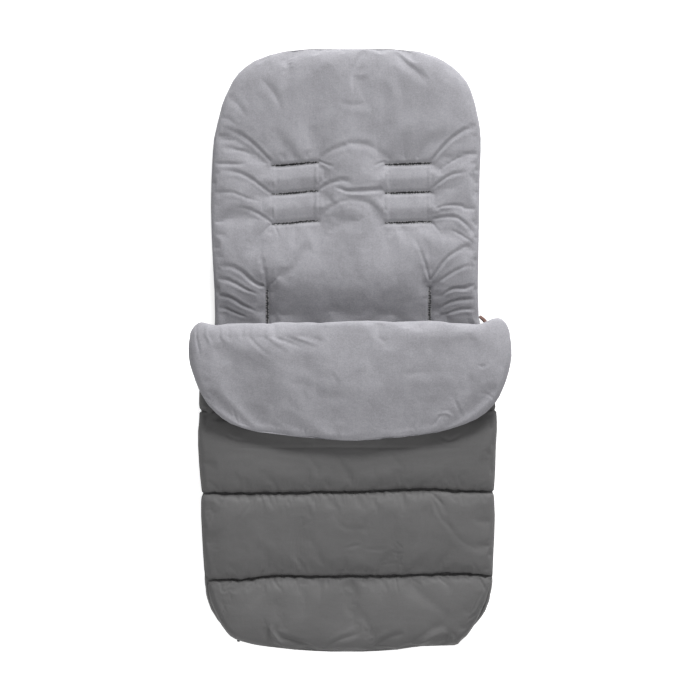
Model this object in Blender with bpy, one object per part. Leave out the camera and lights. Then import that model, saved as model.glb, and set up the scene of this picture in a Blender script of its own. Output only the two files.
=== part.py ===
"""A universal stroller footmuff, lying on its rear face with its apron turned down at the top.

Metres. +X is the footmuff's left-to-right width as seen from the front, +Y its head end and +Z its
front. The origin is under the middle of its outer box, on the surface that it lies on.
"""

import math

import bmesh
import bpy
import numpy as np
from mathutils import Matrix, Vector

# Overall
LENGTH = 0.9632
HEAD_Y = LENGTH / 2
FOOT_Y = -LENGTH / 2
CLOTH = 0.0015
GAP = 0.0003
CUT_OVERRUN = 0.004
WELD = 0.00001

# Head end of the back panel, an arch that is squarer than an ellipse
BACK_HALF_WIDTH = 0.216
HEAD_ROUND = 0.1716
HEAD_SIDE_POWER = 3.2
HEAD_END_POWER = 3.0
END_WIDTH_SHARE = 0.2
STRAIGHT_SIDE_POWER = 8

# Foot end, shared by the back panel, the zips and the apron
FOOT_ROUND = 0.1256
FOOT_POWER = 3.4
ZIP_HALF_WIDTH = 0.220
WALL_INSET = 0.004
BORDER_OVERHANG = 0.0162
LINE_STEP = 0.0008
FOOT_ROUND_Y = FOOT_Y + BORDER_OVERHANG + FOOT_ROUND

# Heights of the back panel
GRIP_THICKNESS = 0.0012
GRIP_HALF_WIDTH = 0.160
GRIP_CORNER = 0.020
GRIP_REACHES = {"head": (0.325, 0.405), "middle": (0.115, 0.185), "foot": (-0.400, -0.080)}
SHELL_BOTTOM_Z = GRIP_THICKNESS + GAP
BACK_SEAM_Z = 0.0125
BACK_TOP_Z = 0.0245
BACK_EDGE_ROUND = 0.030
BACK_CROWN = 0.0025

# Harness slots
SLOT_OPENING = 0.0050
FACING = 0.0008
FACING_TOP_Z = 0.0222
SHOULDER_SLOT = 0.074
SHOULDER_SLOT_X = 0.091
SHOULDER_SLOT_YS = (0.299, 0.253, 0.205)
WAIST_SLOT = 0.100
WAIST_SLOT_X = 0.1306
WAIST_SLOT_Y = 0.049
CROTCH_SLOT = 0.060
CROTCH_SLOT_Y = -0.060
SLOT_DIP = 0.0030
DIP_REACH = 0.014
SLOT_END_SEGMENTS = 5

# Walls of the pouch
WALL_THICKNESS = 0.0020
WALL_LEAN = 0.0009
WALL_FOOT_Z = BACK_SEAM_Z - CLOTH
WALL_KNEE_Z = 0.020

# Zip
ZIP_Z = 0.038
TAPE_THICKNESS = 0.0009
TAPE_WIDTH = 0.0061
TOOTH_HALF_CHAIN = 0.0036
TOOTH_BASE = 0.0014
TOOTH_OVERLAP = 0.0012
TOOTH_THICKNESS = 0.0026
TOOTH_PITCH = 0.0076
TOOTH_LENGTH = 0.0030
ZIP_CORNER_LENGTH = 0.127
ZIP_END_LENGTH = 0.010
ZIP_END_THICKNESS = 0.0044
ZIP_END_HALF_HEIGHT = 0.0052
STOP_LENGTH = 0.0026
STOP_THICKNESS = 0.0024
STOP_HEIGHT = 0.0022

# Apron
FOLD_Y = 0.0213
FOLD_Z = 0.0893
FOLD_RADIUS = 0.024
SEAM_YS = (-0.094, -0.226, -0.360)
SEAM_REACH = 0.048
SEAM_REST_SHARE = 0.18
FOOT_ROW_SHARE = 0.3
BORDER_BOTTOM_Z = ZIP_Z + 0.0068
BORDER_TOP_Z = 0.0728
PANEL_OUT = 0.010
PANEL_TOP_Z = FOLD_Z - 0.0009
LINING_Z = FOLD_Z - FOLD_RADIUS
PANEL_ROUND = 0.060
LINING_ROUND = 0.040
LINING_LIFT = 0.0035
LINING_SEAT = 0.006

# Flap
FLAP_HALF_WIDTH = 0.256
FLAP_FOOT_Y = -0.143
FLAP_ROUND = 0.140
FLAP_SIDE_POWER = 2.6
FLAP_END_POWER = 3.0
FLAP_EDGE_Z = FOLD_Z + 0.0050
FLAP_TOP_Z = FOLD_Z + FOLD_RADIUS
FLAP_EDGE_ROUND = 0.034
FLAP_DROOP = 0.008
FLAP_DROOP_FROM = 0.200
FOLD_HALF_WIDTH = 0.251
FOLD_END_POWER = 8.0
FOLD_END_SHARE = 0.992

# Slider, across the chain by the chain's own thickness
SLIDER_Y = 0.008
SLIDER_LENGTH = 0.016
SLIDER_HALF_HEIGHT = 0.0055
SLIDER_PLATE = 0.0012
CHANNEL_CLEARANCE = 0.0004
FLANGE_CLEARANCE = 0.00035
FLANGE_WIDTH = 0.0012
POST_LENGTH = 0.0040
POST_HALF_HEIGHT = 0.0016
POST_SET_BACK = 0.0008
BAIL_HALF_SPAN = 0.0040
BAIL_WIRE = 0.0008
BAIL_RISE = 0.0031
BAIL_POWER = 0.6

# Pull tab and loop
TAB_THICKNESS = 0.0010
TAB_BAR = 0.0012
TAB_NECK_HALF_WIDTH = 0.0032
TAB_WINDOW_HALF_WIDTH = 0.0019
TAB_WINDOW_LENGTH = 0.0060
TAB_LENGTH = 0.0145
TAB_HALF_WIDTH = 0.0050
TAB_SHOULDER = 0.0085
TAB_SLOT_START = 0.0105
TAB_SLOT_LENGTH = 0.0022
TAB_SLOT_HALF_WIDTH = 0.0040
LOOP_LENGTH = 0.041
LOOP_STRAP = 0.0012
LOOP_HALF_WIDTH = 0.0036
LOOP_GAP = 0.0008
PULL_STOWED = math.radians(165)

# How finely curved pieces are divided, as counts
BACK_COLUMNS = 12
APRON_COLUMNS = 10
FOLD_STEPS = 6
CORNER_STEPS = 9
BAIL_STEPS = 8

PLUSH = ((0.32, 0.32, 0.35), 0.95, 0.0)
SHELL_CLOTH = ((0.125, 0.125, 0.127), 0.55, 0.0)
FILLING = ((0.75, 0.75, 0.72), 1.0, 0.0)
FACING_CLOTH = ((0.22, 0.22, 0.24), 0.9, 0.0)
GRIP_CLOTH = ((0.03, 0.03, 0.032), 0.8, 0.0)
TAPE_CLOTH = ((0.05, 0.05, 0.052), 0.85, 0.0)
BLACK_PLASTIC = ((0.015, 0.015, 0.016), 0.35, 0.0)
DARK_STEEL = ((0.09, 0.09, 0.095), 0.3, 1.0)
BROWN_LEATHER = ((0.17, 0.07, 0.05), 0.5, 0.0)


# Scene and objects


def clear_scene():
    for obj in list(bpy.data.objects):
        bpy.data.objects.remove(obj)


def new_collection(name, hidden=False):
    collection = bpy.data.collections.new(name)
    collection.hide_render = hidden
    bpy.context.scene.collection.children.link(collection)
    return collection


def set_finish(obj, finish):
    colour, roughness, metallic = finish
    material = bpy.data.materials.new(obj.name)
    material.use_nodes = True
    shader = material.node_tree.nodes["Principled BSDF"]
    shader.inputs["Base Color"].default_value = (*colour, 1)
    shader.inputs["Roughness"].default_value = roughness
    shader.inputs["Metallic"].default_value = metallic
    obj.data.materials.clear()
    obj.data.materials.append(material)


def object_of(name, bm, collection, finish=None):
    bmesh.ops.recalc_face_normals(bm, faces=bm.faces)
    if bm.calc_volume(signed=True) < 0:
        bmesh.ops.reverse_faces(bm, faces=bm.faces)
    mesh = bpy.data.meshes.new(name)
    bm.to_mesh(mesh)
    bm.free()
    obj = bpy.data.objects.new(name, mesh)
    collection.objects.link(obj)
    if finish:
        mesh.shade_smooth()
        mesh.set_sharp_from_angle(angle=math.radians(40))
        set_finish(obj, finish)
    return obj


def hide_cutter(obj):
    obj.hide_render = True
    obj.display_type = "WIRE"


def boolean(obj, operation, other):
    modifier = obj.modifiers.new(operation.title(), "BOOLEAN")
    modifier.operation = operation
    if isinstance(other, bpy.types.Collection):
        modifier.operand_type = "COLLECTION"
        modifier.collection = other
    else:
        modifier.object = other


def flat_curve(name, loops, thickness, collection):
    """A flat outline in its own XY plane, with any further loops as holes, thickened both ways."""
    curve = bpy.data.curves.new(name, "CURVE")
    curve.dimensions = "2D"
    curve.fill_mode = "BOTH"
    curve.extrude = thickness / 2
    for loop in loops:
        spline = curve.splines.new("POLY")
        spline.points.add(len(loop) - 1)
        spline.use_cyclic_u = True
        for point, (x, y) in zip(spline.points, loop):
            point.co = (x, y, 0, 1)
    obj = bpy.data.objects.new(name, curve)
    collection.objects.link(obj)
    return obj


def mesh_from(obj):
    """The same object as a mesh with its caps welded, placed where the curve was."""
    bpy.context.view_layer.update()
    graph = bpy.context.evaluated_depsgraph_get()
    mesh = bpy.data.meshes.new_from_object(obj.evaluated_get(graph))
    bm = bmesh.new()
    bm.from_mesh(mesh)
    bmesh.ops.remove_doubles(bm, verts=bm.verts, dist=WELD)
    bmesh.ops.recalc_face_normals(bm, faces=bm.faces)
    bm.to_mesh(mesh)
    bm.free()
    made = bpy.data.objects.new(obj.name + "_mesh", mesh)
    made.matrix_world = obj.matrix_world
    obj.users_collection[0].objects.link(made)
    name = obj.name
    bpy.data.objects.remove(obj)
    made.name = name
    return made


# Plan outlines


def half_width(y, width, head=None, foot=None, head_powers=(1, 1), foot_powers=(1, 1)):
    """Half the width at y of an outline with straight sides and rounded ends.

    head and foot are (where the rounding starts, where it ends).
    """
    for end, (side_power, end_power) in ((head, head_powers), (foot, foot_powers)):
        if end and (y - end[0]) * (end[1] - end[0]) > 0:
            along = min((y - end[0]) / (end[1] - end[0]), 1)
            share = (1 - along**end_power) ** (1 / side_power)
            return width * max(share, END_WIDTH_SHARE)
    return width


class Plan:
    """A plan outline: its half width at any y, and how far inside it a point lies."""

    def __init__(self, width, head=None, foot=None, head_powers=(1, 1), foot_powers=(1, 1)):
        self.width = width
        self.ends = [(head, head_powers), (foot, foot_powers)]
        self.shape = dict(head=head, foot=foot, head_powers=head_powers, foot_powers=foot_powers)

    def half(self, y):
        return half_width(y, self.width, **self.shape)

    def inside(self, x, y):
        """About the distance from (x, y) to the outline, from the slope of its own formula."""
        side_power, end_power, along, length = STRAIGHT_SIDE_POWER, 1, 0, 1
        for end, powers in self.ends:
            if end and (y - end[0]) * (end[1] - end[0]) > 0:
                side_power, end_power = powers
                length = abs(end[1] - end[0])
                along = min(abs(y - end[0]) / length, 1)
        across = abs(x) / self.width
        left = 1 - across**side_power - along**end_power
        slope_x = side_power * across ** (side_power - 1) / self.width
        slope_y = end_power * along ** (end_power - 1) / length if along else 0
        near = max(left, 0) / max(math.hypot(slope_x, slope_y), 1 / self.width)
        return min(near, self.width - abs(x)) if not along else near


def end_rows(start, end, power, angles):
    """Places along a rounded end, closer together where the outline turns."""
    return [start + (end - start) * math.sin(math.radians(a)) ** (2 / power) for a in angles]


def rounded(distance, reach):
    """0 at an edge, 1 at reach from it, along a quarter of a circle."""
    share = 1 - min(max(distance, 0) / reach, 1)
    return math.sqrt(1 - share * share)


def eased(distance, reach):
    share = min(max(distance, 0) / reach, 1)
    return share * share * (3 - 2 * share)


def column_shares(count):
    """Shares of the half width, closer together toward the edges."""
    return [math.sin(math.pi * (i / count - 0.5)) for i in range(count + 1)]


def pad(name, plan, rows, columns, top, bottom, finish, collection):
    """A closed solid between two height fields over a grid of rows and columns of an outline."""
    bm = bmesh.new()
    bmesh.ops.create_grid(bm, x_segments=len(columns) - 1, y_segments=len(rows) - 1, size=1)
    bmesh.ops.triangulate(bm, faces=bm.faces, quad_method="FIXED")
    places = {}
    for vert in bm.verts:
        column = columns[round((vert.co.x + 1) / 2 * (len(columns) - 1))]
        y = rows[round((vert.co.y + 1) / 2 * (len(rows) - 1))]
        x = column * plan.half(y)
        places[(round(vert.co.x, 5), round(vert.co.y, 5))] = (x, y)
    upper = bmesh.ops.extrude_face_region(bm, geom=bm.faces[:])["geom"]
    upper = {item for item in upper if isinstance(item, bmesh.types.BMVert)}
    for vert in bm.verts:
        x, y = places[(round(vert.co.x, 5), round(vert.co.y, 5))]
        vert.co = (x, y, top(x, y) if vert in upper else bottom(x, y))
    return object_of(name, bm, collection, finish)


# The line that the zip, the walls and the borders follow


def corner_points(count=400):
    """x, y and the length run along the foot's rounded half, from its straight side to its middle."""
    angles = np.linspace(0, math.pi / 2, count)
    share = 2 / FOOT_POWER
    x = ZIP_HALF_WIDTH * np.abs(np.cos(angles)) ** share
    y = FOOT_ROUND_Y - FOOT_ROUND * np.sin(angles) ** share
    x[-1] = 0
    run = np.concatenate([[0], np.cumsum(np.hypot(np.diff(x), np.diff(y)))])
    return x, y, run


CORNER = corner_points()


def station(place, side):
    """A point of the zip line and its outward direction.

    place is a length along the line from where the side starts to bend: negative up the straight
    side, positive round the corner. side is 1 on the right, -1 on the left.
    """
    if place <= 0:
        point, along = Vector((ZIP_HALF_WIDTH, FOOT_ROUND_Y - place, 0)), Vector((0, -1, 0))
    else:
        x, y, run = CORNER
        near, far = max(place - LINE_STEP, 0), min(place + LINE_STEP, run[-1])
        at = [Vector((np.interp(p, run, x), np.interp(p, run, y), 0)) for p in (near, place, far)]
        point, along = at[1], (at[2] - at[0]).normalized()
    return Vector((side * point.x, point.y, 0)), Vector((-side * along.y, along.x, 0))


def stations(start, end, side, corner_steps=CORNER_STEPS):
    places = []
    if start < 0:
        places += [start, min(end, 0)]
    if end > 0:
        places += list(np.linspace(max(start, 0), end, corner_steps + 1))[len(places) // 2 :]
    return [station(place, side) for place in places]


def corner_length():
    return float(CORNER[2][-1])


def sweep(name, line, section, finish, collection):
    """A closed solid with the section (out, up) carried along the stations of a line."""
    bm = bmesh.new()
    rings = []
    for point, outward in line:
        ring = [bm.verts.new(point + outward * out + Vector((0, 0, up))) for out, up in section]
        rings.append(ring)
    for ring, following in zip(rings, rings[1:]):
        for i in range(len(section)):
            j = (i + 1) % len(section)
            bm.faces.new((ring[i], ring[j], following[j], following[i]))
    bm.faces.new(rings[0])
    bm.faces.new(rings[-1])
    return object_of(name, bm, collection, finish)


# Back panel

BACK = Plan(
    BACK_HALF_WIDTH,
    head=(HEAD_Y - HEAD_ROUND, HEAD_Y),
    foot=(FOOT_ROUND_Y, FOOT_Y + BORDER_OVERHANG + WALL_INSET),
    head_powers=(HEAD_SIDE_POWER, HEAD_END_POWER),
    foot_powers=(FOOT_POWER, FOOT_POWER),
)


def slot_places():
    """Name, centre, length and whether it lies across, for each harness slot."""
    places = []
    for row, y in enumerate(SHOULDER_SLOT_YS, 1):
        for side, x in (("left", -SHOULDER_SLOT_X), ("right", SHOULDER_SLOT_X)):
            places.append((f"shoulder_slot_{row}_{side}", x, y, SHOULDER_SLOT, True))
    for side, x in (("left", -WAIST_SLOT_X), ("right", WAIST_SLOT_X)):
        places.append((f"waist_slot_{side}", x, WAIST_SLOT_Y, WAIST_SLOT, False))
    places.append(("crotch_slot", 0, CROTCH_SLOT_Y, CROTCH_SLOT, True))
    return places


def slot_dip(x, y):
    """How far the sewn slots draw the pad in, deepest on a slot's line."""
    deepest = 0
    for _, slot_x, slot_y, length, across in slot_places():
        along, beside = (x - slot_x, y - slot_y) if across else (y - slot_y, x - slot_x)
        past = max(abs(along) - length / 2, 0)
        deepest = max(deepest, math.exp(-((beside**2 + past**2) / DIP_REACH**2)))
    return SLOT_DIP * deepest


def back_rise(x, y):
    inside = BACK.inside(x, y)
    full = BACK_TOP_Z - CLOTH - BACK_SEAM_Z
    crown = BACK_CROWN * (1 - (x / BACK_HALF_WIDTH) ** 2)
    return (full + crown) * rounded(inside, BACK_EDGE_ROUND) - slot_dip(x, y)


def liner_bottom(x, y):
    return BACK_SEAM_Z + GAP / 2 + max(back_rise(x, y), 0)


def shell_top(x, y):
    drop = BACK_SEAM_Z - GAP / 2 - CLOTH - SHELL_BOTTOM_Z
    return BACK_SEAM_Z - GAP / 2 - drop * rounded(BACK.inside(x, y), BACK_EDGE_ROUND)


def back_rows():
    foot_start, foot_end = BACK.ends[1][0]
    head_start, head_end = BACK.ends[0][0]
    first, middle, last = SHOULDER_SLOT_YS
    rows = end_rows(foot_start, foot_end, FOOT_POWER, (90, 74, 60, 46, 32, 18))
    rows += list(np.linspace(foot_start, CROTCH_SLOT_Y, 5)[:-1])
    rows += [CROTCH_SLOT_Y, WAIST_SLOT_Y - WAIST_SLOT / 2, WAIST_SLOT_Y, WAIST_SLOT_Y + WAIST_SLOT / 2]
    rows += [last - 2 * DIP_REACH, last, (last + middle) / 2, middle, (middle + first) / 2, first]
    rows += end_rows(head_start, head_end, HEAD_END_POWER, (16, 30, 44, 57, 68, 78, 90))
    return rows


def make_slot_cutters(cutters):
    height = BACK_TOP_Z + BACK_CROWN + 2 * CUT_OVERRUN
    for name, x, y, length, across in slot_places():
        wall = FACING + GAP
        outline = stadium(length + 2 * wall, SLOT_OPENING + 2 * wall)
        cutter = flat_curve("cut_" + name, [outline], height, cutters)
        cutter.location = (x, y, height / 2 - CUT_OVERRUN)
        cutter.rotation_euler.z = 0 if across else math.pi / 2
        hide_cutter(mesh_from(cutter))


def stadium(length, width):
    """An outline with straight sides and half-round ends, centred on its own origin."""
    radius, points = width / 2, []
    for end in (1, -1):
        for i in range(SLOT_END_SEGMENTS + 1):
            turn = math.pi * (i / SLOT_END_SEGMENTS - 0.5) + (0 if end > 0 else math.pi)
            points.append((end * (length / 2 - radius) + radius * math.cos(turn), radius * math.sin(turn)))
    return points


def rounded_box(half_x, low_y, high_y, corner):
    points, steps = [], SLOT_END_SEGMENTS
    for turn, (x, y) in enumerate(
        ((half_x, high_y), (-half_x, high_y), (-half_x, low_y), (half_x, low_y))
    ):
        centre_x = x - math.copysign(corner, x)
        centre_y = y - corner if y == high_y else y + corner
        for i in range(steps + 1):
            angle = math.pi / 2 * (turn + i / steps)
            points.append((centre_x + corner * math.cos(angle), centre_y + corner * math.sin(angle)))
    return points


def make_back(parts, cutters):
    rows, columns = back_rows(), column_shares(BACK_COLUMNS)
    layers = [
        pad("back_liner", BACK, rows, columns, lambda x, y: liner_bottom(x, y) + CLOTH, liner_bottom,
            PLUSH, parts),
        pad("back_shell", BACK, rows, columns, shell_top, lambda x, y: shell_top(x, y) - CLOTH,
            SHELL_CLOTH, parts),
    ]
    for layer in layers:
        boolean(layer, "DIFFERENCE", cutters)
    for name, (low, high), (left, right) in wadding_sections(rows, columns):
        section_rows = [low, *[y for y in rows if low + DIP_REACH / 2 < y < high - DIP_REACH / 2], high]
        section_columns = [left, *[share for share in columns if left < share < right], right]
        pad("back_wadding_" + name, BACK, section_rows, section_columns,
            lambda x, y: liner_bottom(x, y) - GAP, lambda x, y: shell_top(x, y) + GAP, FILLING, parts)
    for name, (low, high) in GRIP_REACHES.items():
        outline = rounded_box(GRIP_HALF_WIDTH, low, high, GRIP_CORNER)
        grip = flat_curve("grip_panel_" + name, [outline], GRIP_THICKNESS, parts)
        grip.location.z = GRIP_THICKNESS / 2
        set_finish(grip, GRIP_CLOTH)


def wadding_sections(rows, columns):
    """Name, reach in Y and reach in column shares of each sheet of wadding between the harness slots."""
    clear = SLOT_OPENING / 2 + FACING + GAP
    first, middle, last = SHOULDER_SLOT_YS
    reach = WAIST_SLOT / 2 + FACING + GAP
    waist_low, waist_high = WAIST_SLOT_Y - reach, WAIST_SLOT_Y + reach
    inner, outer = ((WAIST_SLOT_X + step) / BACK_HALF_WIDTH for step in (-clear, clear))
    full = columns[1], columns[-2]
    return [
        ("head", (first + clear, rows[-2]), full),
        ("shoulder_1", (middle + clear, first - clear), full),
        ("shoulder_2", (last + clear, middle - clear), full),
        ("lumbar", (waist_high + GAP, last - clear), full),
        ("waist_left", (waist_low, waist_high), (full[0], -outer)),
        ("waist_middle", (waist_low, waist_high), (-inner, inner)),
        ("waist_right", (waist_low, waist_high), (outer, full[1])),
        ("seat", (CROTCH_SLOT_Y + clear, waist_low - GAP), full),
        ("foot", (rows[1], CROTCH_SLOT_Y - clear), full),
    ]


def make_facings(parts):
    height = FACING_TOP_Z - SHELL_BOTTOM_Z
    for name, x, y, length, across in slot_places():
        outer = stadium(length + 2 * FACING, SLOT_OPENING + 2 * FACING)
        inner = stadium(length, SLOT_OPENING)
        facing = flat_curve(name + "_facing", [outer, inner], height, parts)
        facing.location = (x, y, SHELL_BOTTOM_Z + height / 2)
        facing.rotation_euler.z = 0 if across else math.pi / 2
        set_finish(facing, FACING_CLOTH)


# Walls and zips


def straight_length():
    return FOLD_Y - FOOT_ROUND_Y


def wall_section(top):
    inner = GAP - WALL_INSET
    return [
        (inner, WALL_FOOT_Z),
        (inner, WALL_KNEE_Z),
        (inner + WALL_LEAN, top),
        (inner + WALL_LEAN + WALL_THICKNESS, top),
        (inner + WALL_THICKNESS, WALL_KNEE_Z),
        (inner + WALL_THICKNESS, WALL_FOOT_Z),
    ]


def foot_line(start):
    """Stations from one zip's end round the foot to the other's."""
    right = stations(start, corner_length(), 1)
    left = stations(start, corner_length(), -1)
    return right + left[-2::-1]


def make_walls(parts):
    side_top = ZIP_Z - TOOTH_HALF_CHAIN - GAP - TAPE_WIDTH / 2
    for name, side in (("left", -1), ("right", 1)):
        line = stations(-straight_length(), ZIP_CORNER_LENGTH, side)
        sweep("side_wall_" + name, line, wall_section(side_top), SHELL_CLOTH, parts)
    line = foot_line(ZIP_CORNER_LENGTH + GAP)
    sweep("foot_wall", line, wall_section(BORDER_BOTTOM_Z - GAP), SHELL_CLOTH, parts)


def make_zip(name, side, parts):
    half = TAPE_THICKNESS / 2
    for part, up in (("back", -1), ("apron", 1)):
        near = ZIP_Z + up * (TOOTH_HALF_CHAIN + GAP)
        far = near + up * TAPE_WIDTH
        section = [(-half, near), (half, near), (half, far), (-half, far)]
        line = stations(-straight_length(), ZIP_CORNER_LENGTH - GAP, side)
        sweep(f"zip_tape_{part}_{name}", line, section, TAPE_CLOTH, parts)
        make_teeth(f"zip_teeth_{part}_{name}", side, up, parts)
        make_top_stop(f"top_stop_{part}_{name}", side, up, parts)
    make_zip_end(name, side, parts)


def make_teeth(name, side, up, parts):
    """One row of teeth on its base: a comb cut flat, then bent along the zip line."""
    first = -straight_length() + (FOLD_Y - SLIDER_Y) - POST_SET_BACK
    last = ZIP_CORNER_LENGTH - GAP
    shift = TOOTH_PITCH / 2 if up > 0 else 0
    count = int((last - first - shift) / TOOTH_PITCH)
    straight = int((-first - shift) / TOOTH_PITCH)
    cuts = [0, *range(straight, count + 1)]
    bm = bmesh.new()
    for start, end in zip(cuts, cuts[1:]):
        low = first if start == 0 else first + shift + start * TOOTH_PITCH
        high = last if end == count else first + shift + end * TOOTH_PITCH
        comb = comb_outline(low, high, first + shift, range(start, end))
        bm.faces.new([bm.verts.new((along, 0, ZIP_Z + up * height)) for along, height in comb])
    bmesh.ops.remove_doubles(bm, verts=bm.verts, dist=WELD)
    bmesh.ops.triangulate(bm, faces=bm.faces)
    thick = bmesh.ops.extrude_face_region(bm, geom=bm.faces[:])["geom"]
    raised = {item for item in thick if isinstance(item, bmesh.types.BMVert)}
    for vert in bm.verts:
        out = TOOTH_THICKNESS / 2 if vert in raised else -TOOTH_THICKNESS / 2
        point, outward = station(vert.co.x, side)
        vert.co = point + outward * out + Vector((0, 0, vert.co.z))
    object_of(name, bm, parts, BLACK_PLASTIC)


def comb_outline(low, high, first_tooth, numbers):
    """(along, height) round a stretch of base with its teeth, heights counted from the chain's middle."""
    foot = TOOTH_HALF_CHAIN - TOOTH_BASE
    comb = [(low, TOOTH_HALF_CHAIN), (low, foot)]
    for number in numbers:
        near = first_tooth + number * TOOTH_PITCH + (TOOTH_PITCH - TOOTH_LENGTH) / 2
        far = near + TOOTH_LENGTH
        comb += [(near, foot), (near, -TOOTH_OVERLAP), (far, -TOOTH_OVERLAP), (far, foot)]
    return comb + [(high, foot), (high, TOOTH_HALF_CHAIN)]


def make_top_stop(name, side, up, parts):
    start = -straight_length() + (FOLD_Y - SLIDER_Y - SLIDER_LENGTH / 2) - GAP
    low = ZIP_Z + up * (TOOTH_HALF_CHAIN - STOP_HEIGHT)
    high = ZIP_Z + up * TOOTH_HALF_CHAIN
    half = STOP_THICKNESS / 2
    section = [(-half, low), (half, low), (half, high), (-half, high)]
    sweep(name, stations(start - STOP_LENGTH, start, side), section, DARK_STEEL, parts)


def make_zip_end(name, side, parts):
    start = ZIP_CORNER_LENGTH + GAP
    seat = WALL_LEAN + WALL_THICKNESS - WALL_INSET + 2 * GAP
    height = ZIP_END_HALF_HEIGHT
    section = [
        (seat, ZIP_Z - height),
        (seat + ZIP_END_THICKNESS, ZIP_Z - height / 2),
        (seat + ZIP_END_THICKNESS, ZIP_Z + height / 2),
        (seat, ZIP_Z + height),
    ]
    line = stations(start, start + ZIP_END_LENGTH, side, corner_steps=2)
    sweep("zip_end_" + name, line, section, BLACK_PLASTIC, parts)


# Slider and pull, made for the right side and turned about the slider's middle


def at_slider(obj, side):
    """Puts an object made in (along, up, out) coordinates on the zip line, facing out."""
    across = Matrix(((0, 0, side, 0), (1, 0, 0, 0), (0, side, 0, 0), (0, 0, 0, 1)))
    obj.matrix_world = Matrix.Translation((side * ZIP_HALF_WIDTH, SLIDER_Y, ZIP_Z)) @ across


def slider_outline():
    half, tall = SLIDER_LENGTH / 2, SLIDER_HALF_HEIGHT
    upper_shares = ((1, 0.45), (0.88, 0.86), (0.66, 1), (-0.3, 0.96), (-0.8, 0.9), (-1, 0.8))
    upper = [(half * along, tall * up) for along, up in upper_shares]
    return upper + [(along, -up) for along, up in reversed(upper)]


def make_slider(name, side, parts, cutters):
    channel = TOOTH_THICKNESS / 2 + CHANNEL_CLEARANCE
    mouth = TAPE_THICKNESS / 2 + FLANGE_CLEARANCE
    top, tall = channel + SLIDER_PLATE, SLIDER_HALF_HEIGHT
    body = prism("slider_" + name, slider_outline(), -top, top, parts)
    for part, low, high, reach in (
        ("channel", -channel, channel, tall - FLANGE_WIDTH),
        ("mouth", -mouth, mouth, tall + CUT_OVERRUN),
    ):
        long = SLIDER_LENGTH / 2 + CUT_OVERRUN
        outline = [(-long, -reach), (long, -reach), (long, reach), (-long, reach)]
        cutter = prism(f"cut_{part}_{name}", outline, low, high, cutters)
        hide_cutter(cutter)
        at_slider(cutter, side)
        boolean(body, "DIFFERENCE", cutter)
    nose = SLIDER_LENGTH / 2 - POST_SET_BACK
    wedge = [
        (nose, -POST_HALF_HEIGHT),
        (nose, POST_HALF_HEIGHT),
        (nose - POST_LENGTH / 2, POST_HALF_HEIGHT),
        (nose - POST_LENGTH, POST_HALF_HEIGHT / 4),
        (nose - POST_LENGTH, -POST_HALF_HEIGHT / 4),
        (nose - POST_LENGTH / 2, -POST_HALF_HEIGHT),
    ]
    middle = channel + SLIDER_PLATE / 2
    post = prism("post_" + name, wedge, -middle, middle, cutters)
    bail = make_bail("bail_" + name, top, cutters)
    for joined in (post, bail):
        hide_cutter(joined)
        at_slider(joined, side)
        boolean(body, "UNION", joined)
    at_slider(body, side)
    set_finish(body, DARK_STEEL)


def prism(name, outline, low, high, collection):
    """An outline in (along, up) thickened from low to high, outward."""
    obj = flat_curve(name, [outline], high - low, collection)
    obj.location.z = (high + low) / 2
    made = mesh_from(obj)
    made.data.transform(made.matrix_world)
    made.matrix_world = Matrix()
    return made


def make_bail(name, top, collection):
    curve = bpy.data.curves.new(name, "CURVE")
    curve.dimensions = "3D"
    curve.bevel_depth = BAIL_WIRE
    curve.bevel_resolution = 2
    curve.use_fill_caps = True
    spline = curve.splines.new("POLY")
    spline.points.add(BAIL_STEPS)
    for i, point in enumerate(spline.points):
        turn = math.pi * i / BAIL_STEPS
        along = BAIL_HALF_SPAN * math.copysign(abs(math.cos(turn)) ** BAIL_POWER, math.cos(turn))
        out = top - BAIL_WIRE / 2 + (BAIL_RISE + BAIL_WIRE / 2) * math.sin(turn) ** BAIL_POWER
        point.co = (along, 0, out, 1)
    obj = bpy.data.objects.new(name, curve)
    collection.objects.link(obj)
    return mesh_from(obj)


def pull_axis_out():
    """How far out of the zip line the pull's pin turns: midway between the plate and the bail."""
    top = TOOTH_THICKNESS / 2 + CHANNEL_CLEARANCE + SLIDER_PLATE
    return top + (BAIL_RISE - BAIL_WIRE) / 2


def make_pull(name, side, stowed, parts):
    tab = make_tab("pull_tab_" + name, parts)
    loop = make_loop("pull_loop_" + name, parts)
    pin = bpy.data.objects.new("pull_pin_" + name, None)
    parts.objects.link(pin)
    pin.location = (side * (ZIP_HALF_WIDTH + pull_axis_out()), SLIDER_Y, ZIP_Z)
    pin.rotation_euler.z = -side * stowed
    for obj in (tab, loop):
        obj.parent = pin
        obj.matrix_parent_inverse = Matrix()


def make_tab(name, parts):
    """A stamped tab in the plane of the chain, its end bar on the pin's axis."""
    neck, wide, bar = TAB_NECK_HALF_WIDTH, TAB_HALF_WIDTH, TAB_BAR / 2
    upper = [(-bar, neck), (TAB_WINDOW_LENGTH, neck), (TAB_SHOULDER, wide), (TAB_LENGTH, wide)]
    outline = upper + [(along, -up) for along, up in reversed(upper)]
    window = box_outline(bar, TAB_WINDOW_LENGTH, TAB_WINDOW_HALF_WIDTH)
    slot = box_outline(TAB_SLOT_START, TAB_SLOT_START + TAB_SLOT_LENGTH, TAB_SLOT_HALF_WIDTH)
    tab = mesh_from(flat_curve(name, [outline, window, slot], TAB_THICKNESS, parts))
    # the outline's own plane becomes the plane of the chain: along to Y, up to Z
    tab.data.transform(Matrix(((0, 0, 1, 0), (1, 0, 0, 0), (0, 1, 0, 0), (0, 0, 0, 1))))
    set_finish(tab, DARK_STEEL)
    return tab


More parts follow.
